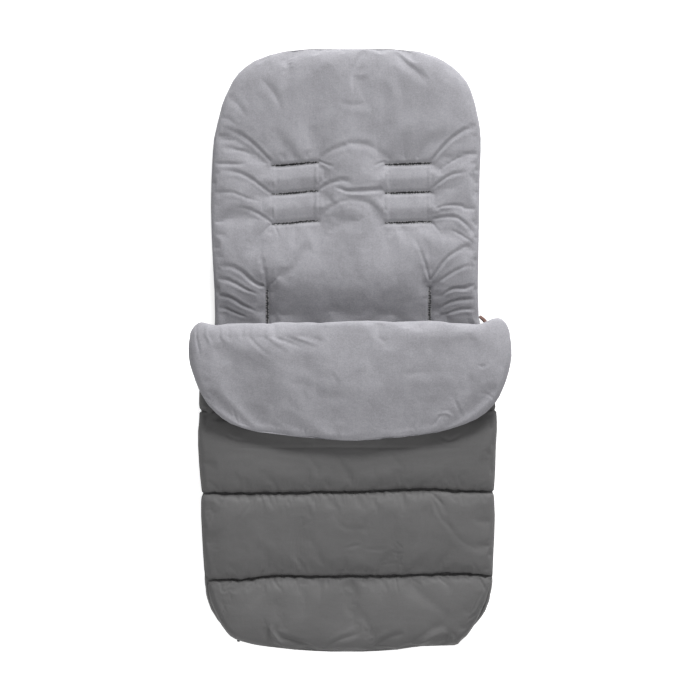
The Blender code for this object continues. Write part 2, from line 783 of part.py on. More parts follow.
def make_loop(name, parts):
    """A strap folded through the tab's slot and sewn to itself."""
    start = TAB_SLOT_START + TAB_SLOT_LENGTH - LOOP_GAP - LOOP_STRAP
    thick = TAB_THICKNESS / 2 + LOOP_GAP + LOOP_STRAP
    hole_start, hole_end = start + LOOP_STRAP, TAB_LENGTH + LOOP_GAP
    hole = box_outline(hole_start, hole_end, TAB_THICKNESS / 2 + LOOP_GAP)
    end = start + LOOP_LENGTH
    neck = hole_end + 2 * LOOP_STRAP
    upper = [
        (start, thick / 2),
        (hole_start, thick),
        (hole_end, thick),
        (neck, LOOP_STRAP),
        (end - LOOP_STRAP, LOOP_STRAP),
        (end, LOOP_STRAP / 2),
    ]
    outline = upper + [(along, -out) for along, out in reversed(upper)]
    loop = mesh_from(flat_curve(name, [outline, hole], 2 * LOOP_HALF_WIDTH, parts))
    # here the outline's plane is (along, out), and the strap's width stands up
    loop.data.transform(Matrix(((0, 1, 0, 0), (1, 0, 0, 0), (0, 0, -1, 0), (0, 0, 0, 1))))
    set_finish(loop, BROWN_LEATHER)
    return loop


def box_outline(low, high, half):
    return [(low, -half), (high, -half), (high, half), (low, half)]


# Apron

APRON = Plan(
    ZIP_HALF_WIDTH + PANEL_OUT,
    foot=(FOOT_ROUND_Y, FOOT_Y + BORDER_OVERHANG - PANEL_OUT),
    foot_powers=(FOOT_POWER, FOOT_POWER),
)


def seam_share(y):
    """0 on a quilting seam, 1 in the middle of a channel."""
    return min(rounded(abs(y - seam), SEAM_REACH) for seam in SEAM_YS)


def panel_edge_z():
    return BORDER_TOP_Z + GAP


def lining_bottom(x, y):
    drop = panel_edge_z() - LINING_Z - LINING_LIFT * (1 - seam_share(y))
    return panel_edge_z() - drop * eased(APRON.inside(x, y) - LINING_SEAT, LINING_ROUND)


def panel_top(x, y):
    edge = panel_edge_z() + 2 * CLOTH + GAP
    full = SEAM_REST_SHARE + (1 - SEAM_REST_SHARE) * seam_share(y)
    return edge + (PANEL_TOP_Z - edge) * rounded(APRON.inside(x, y), PANEL_ROUND) * full


def apron_rows():
    """Rows of the panel's grid, and the index of each quilting seam among them."""
    rows = end_rows(*APRON.ends[1][0], FOOT_POWER, (90, 74, 60, 46, 32, 18))
    channel_shares = (0, 0.1, 0.35, 0.65, 0.9)
    seams = []
    last, middle, first = SEAM_YS[2], SEAM_YS[1], SEAM_YS[0]
    rows += [last - SEAM_REACH * FOOT_ROW_SHARE]
    for low, high in ((last, middle), (middle, first), (first, FOLD_Y)):
        seams.append(len(rows))
        rows += [low + (high - low) * share for share in channel_shares]
    return rows + [FOLD_Y], seams


def make_apron(parts):
    rows, seams = apron_rows()
    columns = column_shares(APRON_COLUMNS)
    pad("apron_panel", APRON, rows, columns, panel_top, lambda x, y: panel_top(x, y) - CLOTH,
        SHELL_CLOTH, parts)
    pad("apron_lining", APRON, rows, columns, lambda x, y: lining_bottom(x, y) + CLOTH,
        lining_bottom, PLUSH, parts)
    ends = [0, *seams, len(rows)]
    for number, (low, high) in enumerate(zip(ends, ends[1:]), 1):
        pad(f"channel_wadding_{number}", APRON, rows[low + 1 : high], columns[1:-1],
            lambda x, y: panel_top(x, y) - CLOTH - GAP, lambda x, y: lining_bottom(x, y) + CLOTH + GAP,
            FILLING, parts)


def border_section():
    outer_shares = ((0.05, 0), (0.43, 0.06), (0.8, 0.22), (1, 0.49), (0.9, 0.775), (0.617, 1))
    inner_shares = ((0.43, 1), (0.7, 0.757), (0.8, 0.5), (0.654, 0.293), (0.34, 0.157), (0.05, 0.096))
    rise = BORDER_TOP_Z - BORDER_BOTTOM_Z
    return [
        (BORDER_OVERHANG * out, BORDER_BOTTOM_Z + rise * up) for out, up in outer_shares + inner_shares
    ]


def make_borders(parts):
    for name, side in (("left", -1), ("right", 1)):
        line = stations(-straight_length(), ZIP_CORNER_LENGTH - GAP / 2, side)
        sweep("apron_border_" + name, line, border_section(), SHELL_CLOTH, parts)
    sweep("apron_border_foot", foot_line(ZIP_CORNER_LENGTH + GAP), border_section(), SHELL_CLOTH, parts)


# Flap and fold

FLAP = Plan(
    FLAP_HALF_WIDTH,
    foot=(FLAP_FOOT_Y + FLAP_ROUND, FLAP_FOOT_Y),
    foot_powers=(FLAP_SIDE_POWER, FLAP_END_POWER),
)


def flap_droop(x):
    past = max(abs(x) - FLAP_DROOP_FROM, 0) / (FLAP_HALF_WIDTH - FLAP_DROOP_FROM)
    return FLAP_DROOP * past * past


def flap_bottom(x, y):
    low = FOLD_Z + GAP
    edge = FLAP_EDGE_Z - low
    return low + edge * (1 - rounded(FLAP.inside(x, y), FLAP_EDGE_ROUND)) - flap_droop(x)


def flap_top(x, y):
    edge = FLAP_EDGE_Z + 2 * CLOTH + GAP
    return edge + (FLAP_TOP_Z - edge) * rounded(FLAP.inside(x, y), FLAP_EDGE_ROUND) - flap_droop(x)


def make_flap(parts):
    rows = end_rows(*FLAP.ends[1][0], FLAP_END_POWER, (90, 76, 64, 52, 40, 29, 19, 11, 5))
    rows += [FLAP_FOOT_Y + FLAP_ROUND, FOLD_Y]
    columns = column_shares(APRON_COLUMNS)
    pad("flap_facing", FLAP, rows, columns, flap_top, lambda x, y: flap_top(x, y) - CLOTH, PLUSH, parts)
    pad("flap_wadding", FLAP, rows[1:], columns[1:-1], lambda x, y: flap_top(x, y) - CLOTH - GAP,
        lambda x, y: flap_bottom(x, y) + CLOTH + GAP, FILLING, parts)
    pad("flap_shell", FLAP, rows, columns, lambda x, y: flap_bottom(x, y) + CLOTH, flap_bottom,
        SHELL_CLOTH, parts)


def fold_radius(x):
    share = min(abs(x) / FOLD_HALF_WIDTH, 1)
    return FOLD_RADIUS * (1 - share**FOLD_END_POWER) ** (1 / FOLD_END_POWER)


def half_ring(x, outer, inner):
    """Points of a half ring in the plane across X, on the head side of the fold's axis."""
    points = []
    turns = [math.pi * (i / FOLD_STEPS - 0.5) for i in range(FOLD_STEPS + 1)]
    for radius, order in ((outer, turns), (inner, turns[::-1])):
        for turn in order:
            y = FOLD_Y + GAP + radius * math.cos(turn)
            points.append(Vector((x, y, FOLD_Z + radius * math.sin(turn))))
    return points


def make_fold(parts):
    """The stretch that bends at the fold: its lining outside and its wadding inside."""
    places = [FOLD_HALF_WIDTH * FOLD_END_SHARE * share for share in column_shares(APRON_COLUMNS)]
    for name, outer_in, inner_in, finish in (
        ("fold_lining", 0, CLOTH, PLUSH),
        ("fold_wadding", CLOTH + GAP, FOLD_RADIUS - 2 * CLOTH, FILLING),
    ):
        bm = bmesh.new()
        rings = []
        for x in places:
            radius = fold_radius(x)
            ring = half_ring(x, radius - outer_in, max(radius - inner_in, 2 * CLOTH))
            rings.append([bm.verts.new(point) for point in ring])
        for ring, following in zip(rings, rings[1:]):
            for i in range(len(ring)):
                j = (i + 1) % len(ring)
                bm.faces.new((ring[i], ring[j], following[j], following[i]))
        bm.faces.new(rings[0])
        bm.faces.new(rings[-1])
        bmesh.ops.triangulate(bm, faces=bm.faces)
        object_of(name, bm, parts, finish)


def main():
    clear_scene()
    parts = new_collection("stroller_footmuff")
    slot_cutters = new_collection("slot_cutters", hidden=True)
    cutters = new_collection("cutters", hidden=True)
    make_slot_cutters(slot_cutters)
    make_back(parts, slot_cutters)
    make_facings(parts)
    make_walls(parts)
    for name, side in (("left", -1), ("right", 1)):
        make_zip(name, side, parts)
        make_slider(name, side, parts, cutters)
        make_pull(name, side, PULL_STOWED if side < 0 else 0, parts)
    make_apron(parts)
    make_borders(parts)
    make_flap(parts)
    make_fold(parts)


main()
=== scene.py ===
"""Looks for the stroller footmuff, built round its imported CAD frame.

Metres, in the CAD's own frame. Places read off the photograph are in its pixels and go through at().
"""

import math

import bmesh
import bpy
import numpy as np
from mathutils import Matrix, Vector
from mathutils.bvhtree import BVHTree
from mathutils.kdtree import KDTree


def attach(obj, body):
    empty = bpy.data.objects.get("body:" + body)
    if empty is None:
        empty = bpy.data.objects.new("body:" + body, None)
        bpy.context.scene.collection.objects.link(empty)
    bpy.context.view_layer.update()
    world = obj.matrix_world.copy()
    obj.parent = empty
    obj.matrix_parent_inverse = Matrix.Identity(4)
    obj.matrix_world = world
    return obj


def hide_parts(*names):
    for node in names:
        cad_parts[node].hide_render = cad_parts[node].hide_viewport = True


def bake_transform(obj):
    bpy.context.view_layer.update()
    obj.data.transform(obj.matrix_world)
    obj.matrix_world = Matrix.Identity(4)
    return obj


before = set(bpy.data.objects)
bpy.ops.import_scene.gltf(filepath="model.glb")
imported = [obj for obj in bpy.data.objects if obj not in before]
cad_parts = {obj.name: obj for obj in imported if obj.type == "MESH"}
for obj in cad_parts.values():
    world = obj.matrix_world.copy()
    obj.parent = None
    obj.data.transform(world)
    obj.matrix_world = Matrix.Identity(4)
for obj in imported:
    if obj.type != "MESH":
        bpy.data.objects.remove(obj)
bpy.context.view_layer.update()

# The photograph's scale and middle, in pixels
PIXEL = 0.0016
MIDDLE_X, MIDDLE_Y = 348.5, 350.0
FRAME_PIXELS = 700

# Sizes that the CAD sets
SEAM_Z = 0.0125
BACK_TOP_Z = 0.0245
SHELL_BOTTOM_Z = 0.0015
EDGE_ROUND = 0.030
BACK_HALF_WIDTH = 0.216
BACK_HEAD_Y = 0.4812
BACK_ARCH_Y = 0.3105
BACK_FOOT_Y = -0.4614
ZIP_Z = 0.038
ZIP_HALF_WIDTH = 0.220
FOOT_ROUND = 0.1256
FOOT_POWER = 3.4
FOOT_ROUND_Y = -0.3398
CORNER_LENGTH = 0.127
FOLD_Y = 0.0213
FOLD_Z = 0.0893
FOLD_RADIUS = 0.024
BORDER_BOTTOM_Z = 0.0448
BORDER_TOP_Z = 0.0728
LINING_Z = 0.0653


def at(px, py):
    """A pixel of the photograph as X and Y in metres."""
    return (px - MIDDLE_X) * PIXEL, (MIDDLE_Y - py) * PIXEL


def at_all(points):
    return np.array([at(px, py) for px, py in points])


# Smooth random fields, folds and distances

NOISE_CELLS = 61
FAR = 9.0
OUTLINE_STEP = 0.001

# The share of a fold table's widths and depths that is built
FOLD_WIDTH = 0.46
FOLD_DEPTH = 0.68


def noise(x, y, size, seed):
    """A smooth random field from -1 to 1 whose bumps are about size across."""
    table = np.random.default_rng(seed).uniform(-1, 1, (NOISE_CELLS, NOISE_CELLS))
    u, v = x / size + 1000, y / size + 1000
    i, j = np.floor(u).astype(int), np.floor(v).astype(int)
    s, t = u - i, v - j
    s, t = s * s * (3 - 2 * s), t * t * (3 - 2 * t)
    i, j, k, m = (line % NOISE_CELLS for line in (i, j, i + 1, j + 1))
    low = table[i, j] * (1 - s) + table[k, j] * s
    high = table[i, m] * (1 - s) + table[k, m] * s
    return low * (1 - t) + high * t


def layered(x, y, size, seed, layers=3):
    total, share = 0, 1.0
    for layer in range(layers):
        turn = 0.7 * layer
        u = x * math.cos(turn) - y * math.sin(turn)
        v = x * math.sin(turn) + y * math.cos(turn)
        total = total + share * noise(u, v, size / 2**layer, seed + layer)
        share *= 0.5
    return total


def ease(share):
    share = np.clip(share, 0, 1)
    return share * share * (3 - 2 * share)


def rounded(distance, reach):
    share = 1 - np.clip(distance / reach, 0, 1)
    return np.sqrt(1 - share * share)


def bell(distance, width):
    return np.exp(-((distance / width) ** 2))


def hump(across, width, along, length):
    return np.exp(-((across / width) ** 2) - (along / length) ** 2)


def run_of(steps):
    """Distance run at the start and after every step."""
    return np.concatenate([[0], np.cumsum(steps)])


def smooth_path(points, steps=6):
    """A Catmull-Rom curve through the points."""
    points = np.asarray(points, float)
    ends = [2 * points[0] - points[1], *points, 2 * points[-1] - points[-2]]
    curve = []
    for a, b, c, d in zip(ends, ends[1:], ends[2:], ends[3:]):
        square, cube = 2 * a - 5 * b + 4 * c - d, 3 * b - a - 3 * c + d
        for t in np.linspace(0, 1, steps, endpoint=False):
            curve.append(0.5 * (2 * b + (c - a) * t + square * t**2 + cube * t**3))
    return np.array([*curve, points[-1]])


def along_path(x, y, path, reach):
    """Distance from each point to a path, the side it lies on and how far along it is, within reach."""
    near = np.full(x.shape, FAR)
    side, along = np.zeros(x.shape), np.zeros(x.shape)
    low, high = path.min(0) - reach, path.max(0) + reach
    mask = (x > low[0]) & (x < high[0]) & (y > low[1]) & (y < high[1])
    px, py = x[mask], y[mask]
    best, best_side, best_along = near[mask], side[mask], along[mask]
    steps = np.hypot(*np.diff(path, axis=0).T)
    run, total = 0.0, steps.sum()
    for a, b, length in zip(path, path[1:], steps):
        if length < 1e-9:
            continue
        ux, uy = (b - a) / length
        t = np.clip((px - a[0]) * ux + (py - a[1]) * uy, 0, length)
        dx, dy = px - a[0] - t * ux, py - a[1] - t * uy
        d = np.hypot(dx, dy)
        closer = d < best
        best = np.where(closer, d, best)
        best_side = np.where(closer, np.sign(ux * dy - uy * dx), best_side)
        best_along = np.where(closer, (run + t) / total, best_along)
        run += length
    near[mask], side[mask], along[mask] = best, best_side, best_along
    return near, side, along


def fold(x, y, points, width, depth, start=0.25, end=0.5, ridge=0.34):
    """Height change of one fold along points: a valley where depth is positive, with puffed sides."""
    path = smooth_path(points)
    near, _, along = along_path(x, y, path, 6 * width)
    fade = ease(along / max(start, 1e-3)) * ease((1 - along) / max(end, 1e-3))
    wide = width * (0.75 + 0.6 * along)
    valley = -np.exp(-((near / wide) ** 1.5))
    sides = ridge * bell(near - 2.1 * wide, 1.2 * wide)
    return np.where(near < 6 * width, depth * fade * (valley + sides), 0)


def crumple(x, y, size, seed, turn=0.0, stretch=1.0):
    """Fine creases: sharp little valleys where a smooth field changes sign."""
    u = x * math.cos(turn) + y * math.sin(turn)
    v = y * math.cos(turn) - x * math.sin(turn)
    first = np.abs(noise(u / stretch, v, size, seed)) ** 0.7
    second = np.abs(noise(u / stretch + 0.3 * v, v - 0.2 * u, size * 0.6, seed + 1)) ** 0.7
    return first * 0.7 + second * 0.4 - 0.55


def folds(x, y, table, view):
    """All the folds of a table: each is width and depth in millimetres, fades in and out, and points.

    The points are on an enlargement of the photograph, and view is its left and top and its two scales.
    """
    left, top, wide, high = view
    total = np.zeros(x.shape)
    for width, depth, start, end, points in table:
        places = at_all([(left + px / wide, top + py / high) for px, py in points])
        total += fold(x, y, places, width * FOLD_WIDTH / 1000, depth * FOLD_DEPTH / 1000, start, end)
    return total


def edge_distance(x, y, outline, closed=False):
    """Distance from each point to an outline."""
    path = np.asarray(outline, float)
    if closed:
        path = np.vstack([path, path[:1]])
    fine = []
    for a, b in zip(path, path[1:]):
        count = max(int(np.hypot(*(b - a)) / OUTLINE_STEP), 1)
        fine += [a + (b - a) * i / count for i in range(count)]
    fine.append(path[-1])
    tree = KDTree(len(fine))
    for index, point in enumerate(fine):
        tree.insert((*point, 0), index)
    tree.balance()
    flat = [tree.find((u, v, 0))[2] for u, v in zip(x.ravel(), y.ravel())]
    return np.array(flat).reshape(x.shape)


# Meshes


def placed(name, data):
    obj = bpy.data.objects.new(name, data)
    bpy.context.scene.collection.objects.link(obj)
    return obj


def quad_mesh(name, points, quads):
    mesh = bpy.data.meshes.new(name)
    points, quads = np.asarray(points, np.float32), np.asarray(quads, np.int32)
    used, quads = np.unique(quads, return_inverse=True)
    quads = quads.reshape(-1, 4).astype(np.int32)
    mesh.vertices.add(len(used))
    mesh.vertices.foreach_set("co", points[used].ravel())
    mesh.loops.add(quads.size)
    mesh.loops.foreach_set("vertex_index", quads.ravel())
    mesh.polygons.add(len(quads))
    mesh.polygons.foreach_set("loop_start", np.arange(0, quads.size, 4, dtype=np.int32))
    mesh.update(calc_edges=True)
    mesh.shade_smooth()
    return placed(name, mesh)


def grid_quads(rows, columns):
    index = np.arange(rows * columns).reshape(rows, columns)
    return np.stack([index[:-1, :-1], index[1:, :-1], index[1:, 1:], index[:-1, 1:]], -1)


def slab(name, top, bottom, keep=None):
    """A closed solid between two grids of points. keep says which cells are there, so slots stay open."""
    rows, columns = top.shape[:2]
    count = rows * columns
    quads = grid_quads(rows, columns)
    quads = quads[keep] if keep is not None else quads.reshape(-1, 4)
    sides = np.concatenate([quads[:, [i, (i + 1) % 4]] for i in range(4)]).astype(np.int64)
    forward = sides[:, 0] * count + sides[:, 1]
    backward = sides[:, 1] * count + sides[:, 0]
    rim = sides[~np.isin(forward, backward)]
    walls = np.stack([rim[:, 1], rim[:, 0], rim[:, 0] + count, rim[:, 1] + count], -1)
    points = np.concatenate([top.reshape(-1, 3), bottom.reshape(-1, 3)])
    return quad_mesh(name, points, np.concatenate([quads, quads[:, ::-1] + count, walls]))


def tube(name, rings, closed=False):
    """A closed skin over rings of points, all of one length, with flat ends unless the line is closed."""
    rings = np.asarray(rings, float)
    count, size = rings.shape[:2]
    index = np.arange(count * size).reshape(count, size)
    following = np.roll(index, -1, axis=0) if closed else index[1:]
    current = index if closed else index[:-1]
    quads = np.stack([current, np.roll(current, -1, 1), np.roll(following, -1, 1), following], -1)
    obj = quad_mesh(name, rings.reshape(-1, 3), quads.reshape(-1, 4))
    bm = bmesh.new()
    bm.from_mesh(obj.data)
    if not closed:
        bm.verts.ensure_lookup_table()
        bm.faces.new([bm.verts[i] for i in index[0]])
        bm.faces.new([bm.verts[i] for i in index[-1]])
    bmesh.ops.recalc_face_normals(bm, faces=bm.faces)
    if bm.calc_volume(signed=True) < 0:
        bmesh.ops.reverse_faces(bm, faces=bm.faces)
    bm.to_mesh(obj.data)
    bm.free()
    obj.data.shade_smooth()
    return obj


def height_points(x, y, z):
    return np.stack([x, y, z], -1)


def circle(sides):
    return np.linspace(0, 2 * math.pi, sides + 1)[:-1]


def sideways(direction):
    return np.array([-direction[1], direction[0]])


def lines_kept(count, stride):
    kept = list(range(0, count, stride))
    return np.array(kept if kept[-1] == count - 1 else [*kept, count - 1])


def relax(points, held, growth, pressure, cap, bend=0.5, frames=22):
    """Runs a grid of points as slack cloth, held where held is 1. Returns their moves, each at most cap."""
    obj = quad_mesh("slack", points.reshape(-1, 3), grid_quads(*points.shape[:2]).reshape(-1, 4))
    group = obj.vertex_groups.new(name="held")
    flat = held.ravel()
    for weight in np.unique(np.round(flat[flat > 0], 1)):
        group.add(np.flatnonzero(np.round(flat, 1) == weight).tolist(), float(weight), "REPLACE")
    cloth = obj.modifiers.new("cloth", "CLOTH")
    rules = cloth.settings
    rules.quality = 4
    rules.mass = 0.12
    rules.tension_stiffness = rules.compression_stiffness = 14
    rules.shear_stiffness = 6
    rules.bending_stiffness = bend
    rules.air_damping = 4
    rules.vertex_group_mass = "held"
    rules.shrink_min = rules.shrink_max = -growth
    rules.use_pressure = True
    rules.uniform_pressure_force = pressure
    rules.effector_weights.gravity = 0
    cloth.collision_settings.use_collision = False
    cloth.point_cache.frame_end = frames
    for step in range(1, frames + 1):
        bpy.context.scene.frame_set(step)
    seen = obj.evaluated_get(bpy.context.evaluated_depsgraph_get())
    moved = np.empty(len(seen.data.vertices) * 3)
    seen.data.vertices.foreach_get("co", moved)
    bpy.context.scene.frame_set(1)
    mesh = obj.data
    bpy.data.objects.remove(obj)
    bpy.data.meshes.remove(mesh)
    moved = moved.reshape(points.shape) - points
    length = np.linalg.norm(moved, axis=-1, keepdims=True)
    return moved * cap * np.tanh(length / cap) / np.maximum(length, 1e-9)


def spread(moved, coarse_rows, coarse_columns, rows, columns):
    """Moves of a coarse grid carried over to a finer one."""
    by_row = [np.stack([np.interp(rows, coarse_rows, moved[:, j, k]) for j in range(moved.shape[1])], 1)
              for k in range(3)]
    return np.stack([[np.interp(columns, coarse_columns, line) for line in part] for part in by_row], -1)


def relax_every(points, held, stride, *settings):
    """relax on every few lines of a grid, carried over to all of it."""
    rows, columns = lines_kept(points.shape[0], stride), lines_kept(points.shape[1], stride)
    chosen = np.ix_(rows, columns)
    moved = relax(points[chosen], held[chosen], *settings)
    return spread(moved, rows, columns, np.arange(points.shape[0]), np.arange(points.shape[1]))


# Materials


class Nodes:
    """The node tree of a new material or of a given world, with short calls to add to it."""

    def __init__(self, owner, shader="Principled BSDF"):
        self.owner = bpy.data.materials.new(owner) if isinstance(owner, str) else owner
        self.owner.use_nodes = True
        self.tree = self.owner.node_tree
        self.shader = self.tree.nodes[shader]
        self.place = self.tree.nodes.new("ShaderNodeTexCoord").outputs["Object"]

    def add(self, kind, **values):
        """A node: in_0, in_1 and so on are its inputs, anything else its settings."""
        node = self.tree.nodes.new("ShaderNode" + kind)
        for key, value in values.items():
            if key.startswith("in_"):
                self.link(value, node.inputs[int(key[3:])])
            else:
                setattr(node, key, value)
        return node

    def link(self, value, socket):
        if isinstance(value, bpy.types.NodeSocket):
            self.tree.links.new(value, socket)
        else:
            socket.default_value = value

    def fill(self, kind, **values):
        """A node whose inputs are given by name."""
        node = self.add(kind)
        for name, value in values.items():
            self.link(value, node.inputs[name])
        return node.outputs[0]

    def noise(self, size, detail=3.0, rough=0.5, place=None):
        place = place or self.place
        return self.fill("TexNoise", Vector=place, Scale=1 / size, Detail=detail, Roughness=rough)

    def stretched(self, x, y, z, turn=0.0):
        return self.fill("Mapping", Vector=self.place, Rotation=(0, 0, turn), Scale=(x, y, z))

    def math(self, operation, a, b=0.0, clamp=False):
        return self.add("Math", operation=operation, use_clamp=clamp, in_0=a, in_1=b).outputs[0]

    def total(self, *values):
        result = values[0]
        for value in values[1:]:
            result = self.math("ADD", result, value)
        return result

    def times(self, a, b):
        return self.math("MULTIPLY", a, b)

    def wave(self, axis, pitch, operation="SINE"):
        """A wave along one of the object's axes."""
        split = self.add("SeparateXYZ", in_0=self.place)
        return self.math(operation, self.times(split.outputs[axis], 2 * math.pi / pitch))

    def ramp(self, value, low, high, to_low=0.0, to_high=1.0):
        node = self.add("MapRange", in_0=value, in_1=low, in_2=high, in_3=to_low, in_4=to_high)
        return node.outputs[0]

    def spread(self, value, to_low=0.0, to_high=1.0):
        """The range that noise mostly takes, carried over to another one."""
        return self.ramp(value, 0.3, 0.7, to_low, to_high)

    def seen(self, *rays):
        """1 for these kinds of ray and 0 for all others."""
        path, result = self.add("LightPath"), 0.0
        for ray in rays:
            result = self.math("MAXIMUM", result, path.outputs[f"Is {ray} Ray"])
        return result

    def mix(self, share, a, b):
        node = self.add("Mix", data_type="RGBA")
        self.link(share, node.inputs[0])
        for value, socket in ((a, node.inputs[6]), (b, node.inputs[7])):
            self.link((*value, 1) if isinstance(value, tuple) else value, socket)
        return node.outputs[2]

    def tint(self, share, reach, colour, dark, light):
        """A colour from dark to light shares of it, as share goes from -reach to reach."""
        return self.mix(self.ramp(share, -reach, reach), shade(colour, dark), shade(colour, light))

    def bumps(self, *layers):
        """Layers of height, distance and strength, each on the one before."""
        normal = None
        for height, distance, strength in layers:
            values = {"Strength": strength, "Distance": distance, "Height": height}
            normal = self.fill("Bump", **values, **({"Normal": normal} if normal else {}))
        return normal

    def finish(self, colour=None, rough=None, normal=None, **plain):
        for value, name in ((colour, "Base Color"), (rough, "Roughness"), (normal, "Normal")):
            if value is not None:
                self.link(value, self.shader.inputs[name])
        for name, value in plain.items():
            self.shader.inputs[name.replace("_", " ")].default_value = value
        return self.owner


def shade(colour, factor):
    return tuple(c * factor for c in colour)


def plush_material(name, colour):
    """Short-pile plush: brushed patches where the pile lies over, fine tufts and a soft sheen."""
    n = Nodes(name)
    patches = n.noise(0.055, 4.0, 0.55)
    streaks = n.noise(0.016, 3.0, 0.6, n.stretched(1.0, 0.45, 1.0, 0.35))
    tufts = n.noise(0.0016, 2.0, 0.7)
    speck = n.noise(0.0007, 1.0, 0.6)
    clumps = n.noise(0.0034, 2.0, 0.7)
    brushed = n.total(n.ramp(patches, 0.38, 0.64, -0.5, 0.5), n.ramp(streaks, 0.36, 0.66, -0.4, 0.4))
    fine = n.total(n.spread(tufts, -0.5, 0.5), n.spread(speck, -0.45, 0.45), n.spread(clumps, -0.4, 0.4))
    base = n.tint(n.total(n.times(brushed, 0.30), n.times(fine, 0.52)), 0.5, colour, 0.84, 1.15)
    normal = n.bumps((tufts, 0.0005, 0.55), (speck, 0.00025, 0.5))
    return n.finish(base, n.spread(patches, 0.86, 0.98), normal, Sheen_Weight=0.36, Sheen_Roughness=0.38,
                    Sheen_Tint=(0.93, 0.94, 1.0, 1), Specular_IOR_Level=0.15)


def shell_material(name, colour):
    """Smooth woven softshell: fine crossed yarns, faint weft bars and slightly worn high spots."""
    n = Nodes(name)
    weave = n.total(n.times(n.wave(0, 0.00062), n.wave(1, 0.00056)), n.times(n.wave(2, 0.0006), 0.4))
    patches = n.noise(0.07, 3.0, 0.5)
    bars = n.noise(0.02, 3.0, 0.6, n.stretched(0.12, 1.0, 1.0))
    grain = n.noise(0.0011, 2.0, 0.6)
    share = n.total(n.ramp(patches, 0.35, 0.65, -0.35, 0.35), n.ramp(bars, 0.35, 0.65, -0.2, 0.2),
                    n.spread(grain, -0.35, 0.35), n.times(weave, 0.1))
    base = n.tint(share, 0.8, colour, 0.86, 1.14)
    waviness = n.noise(0.012, 3.0, 0.55)
    normal = n.bumps((weave, 0.00006, 0.5), (grain, 0.0002, 0.35), (waviness, 0.0008, 0.35))
    return n.finish(base, n.spread(patches, 0.58, 0.7), normal, Sheen_Weight=0.08, Sheen_Roughness=0.45,
                    Specular_IOR_Level=0.3)


def woven_material(name, colour, pitch):
    """Plain cloth with crossed threads of a given pitch, for facings and tape."""
    n = Nodes(name)
    weave = n.times(n.wave(0, pitch), n.total(n.wave(1, pitch), n.wave(2, pitch)))
    fuzz = n.noise(pitch * 1.6, 2.0, 0.6)
    base = n.tint(n.total(n.times(weave, 0.25), n.spread(fuzz, -0.4, 0.4)), 0.7, colour, 0.72, 1.3)
    normal = n.bumps((weave, pitch * 0.18, 0.7), (fuzz, pitch * 0.3, 0.5))
    return n.finish(base, n.spread(fuzz, 0.79, 0.91), normal, Sheen_Weight=0.1)


def dotted_material(name, colour):
    """Non-slip cloth: rows of small raised dots on a plain knit."""
    n = Nodes(name)
    dots = n.ramp(n.total(n.wave(0, 0.004, "COSINE"), n.wave(1, 0.004, "COSINE")), 0.9, 1.3)
    fuzz = n.noise(0.0008, 2.0, 0.6)
    base = n.mix(dots, shade(colour, 2.6), shade(colour, 0.9))
    base = n.mix(n.spread(fuzz, 0.0, 0.3), base, shade(colour, 3.4))
    return n.finish(base, n.ramp(dots, 0, 1, 0.9, 0.55), n.bumps((dots, 0.0005, 0.9), (fuzz, 0.0002, 0.5)))


def plastic_material(name, colour):
    """Moulded plastic with a fine grain and paler worn spots."""
    n = Nodes(name)
    grain = n.noise(0.0009, 2.0, 0.6)
    wear = n.noise(0.006, 4.0, 0.6)
    base = n.mix(n.ramp(wear, 0.5, 0.75), colour, shade(colour, 2.2))
    return n.finish(base, n.spread(wear, 0.36, 0.55), n.bumps((grain, 0.00008, 0.5)))


def metal_material(name, colour):
    """Dark lacquered metal: fine scratches and edges rubbed a little brighter."""
    n = Nodes(name)
    scratches = n.noise(0.0012, 3.0, 0.7, n.stretched(1.0, 0.12, 1.0))
    wear = n.noise(0.003, 4.0, 0.6)
    edges = n.add("NewGeometry").outputs["Pointiness"]
    rubbed = n.math("MULTIPLY", n.ramp(edges, 0.52, 0.62), n.ramp(wear, 0.35, 0.6), clamp=True)
    lacquer = n.mix(n.spread(wear), shade(colour, 0.8), shade(colour, 1.3))
    base = n.mix(rubbed, lacquer, (0.42, 0.41, 0.4))
    return n.finish(base, n.spread(scratches, 0.24, 0.42), n.bumps((scratches, 0.00003, 0.6)), Metallic=1.0)


def leather_material(name, colour):
    """Brown leather: pebbled grain, darker pores and paler rubbed high spots."""
    n = Nodes(name)
    grain = n.fill("TexVoronoi", Vector=n.place, Scale=1 / 0.0009)
    tone = n.noise(0.007, 4.0, 0.6)
    share = n.total(n.spread(tone, -0.4, 0.4), n.ramp(grain, 0.1, 0.7, 0.35, -0.35))
    base = n.tint(share, 0.6, colour, 0.6, 1.6)
    normal = n.bumps((grain, 0.00018, 0.7), (tone, 0.0003, 0.3))
    return n.finish(base, n.spread(tone, 0.38, 0.56), normal, Specular_IOR_Level=0.45)


def thread_material(name, colour):
    """Twisted sewing thread."""
    n = Nodes(name)
    twist = n.noise(0.0005, 2.0, 0.6, n.stretched(1.0, 1.0, 3.0, 0.7))
    base = n.mix(n.spread(twist), shade(colour, 0.7), shade(colour, 1.3))
    return n.finish(base, n.spread(twist, 0.5, 0.7), n.bumps((twist, 0.0001, 0.6)), Sheen_Weight=0.1)


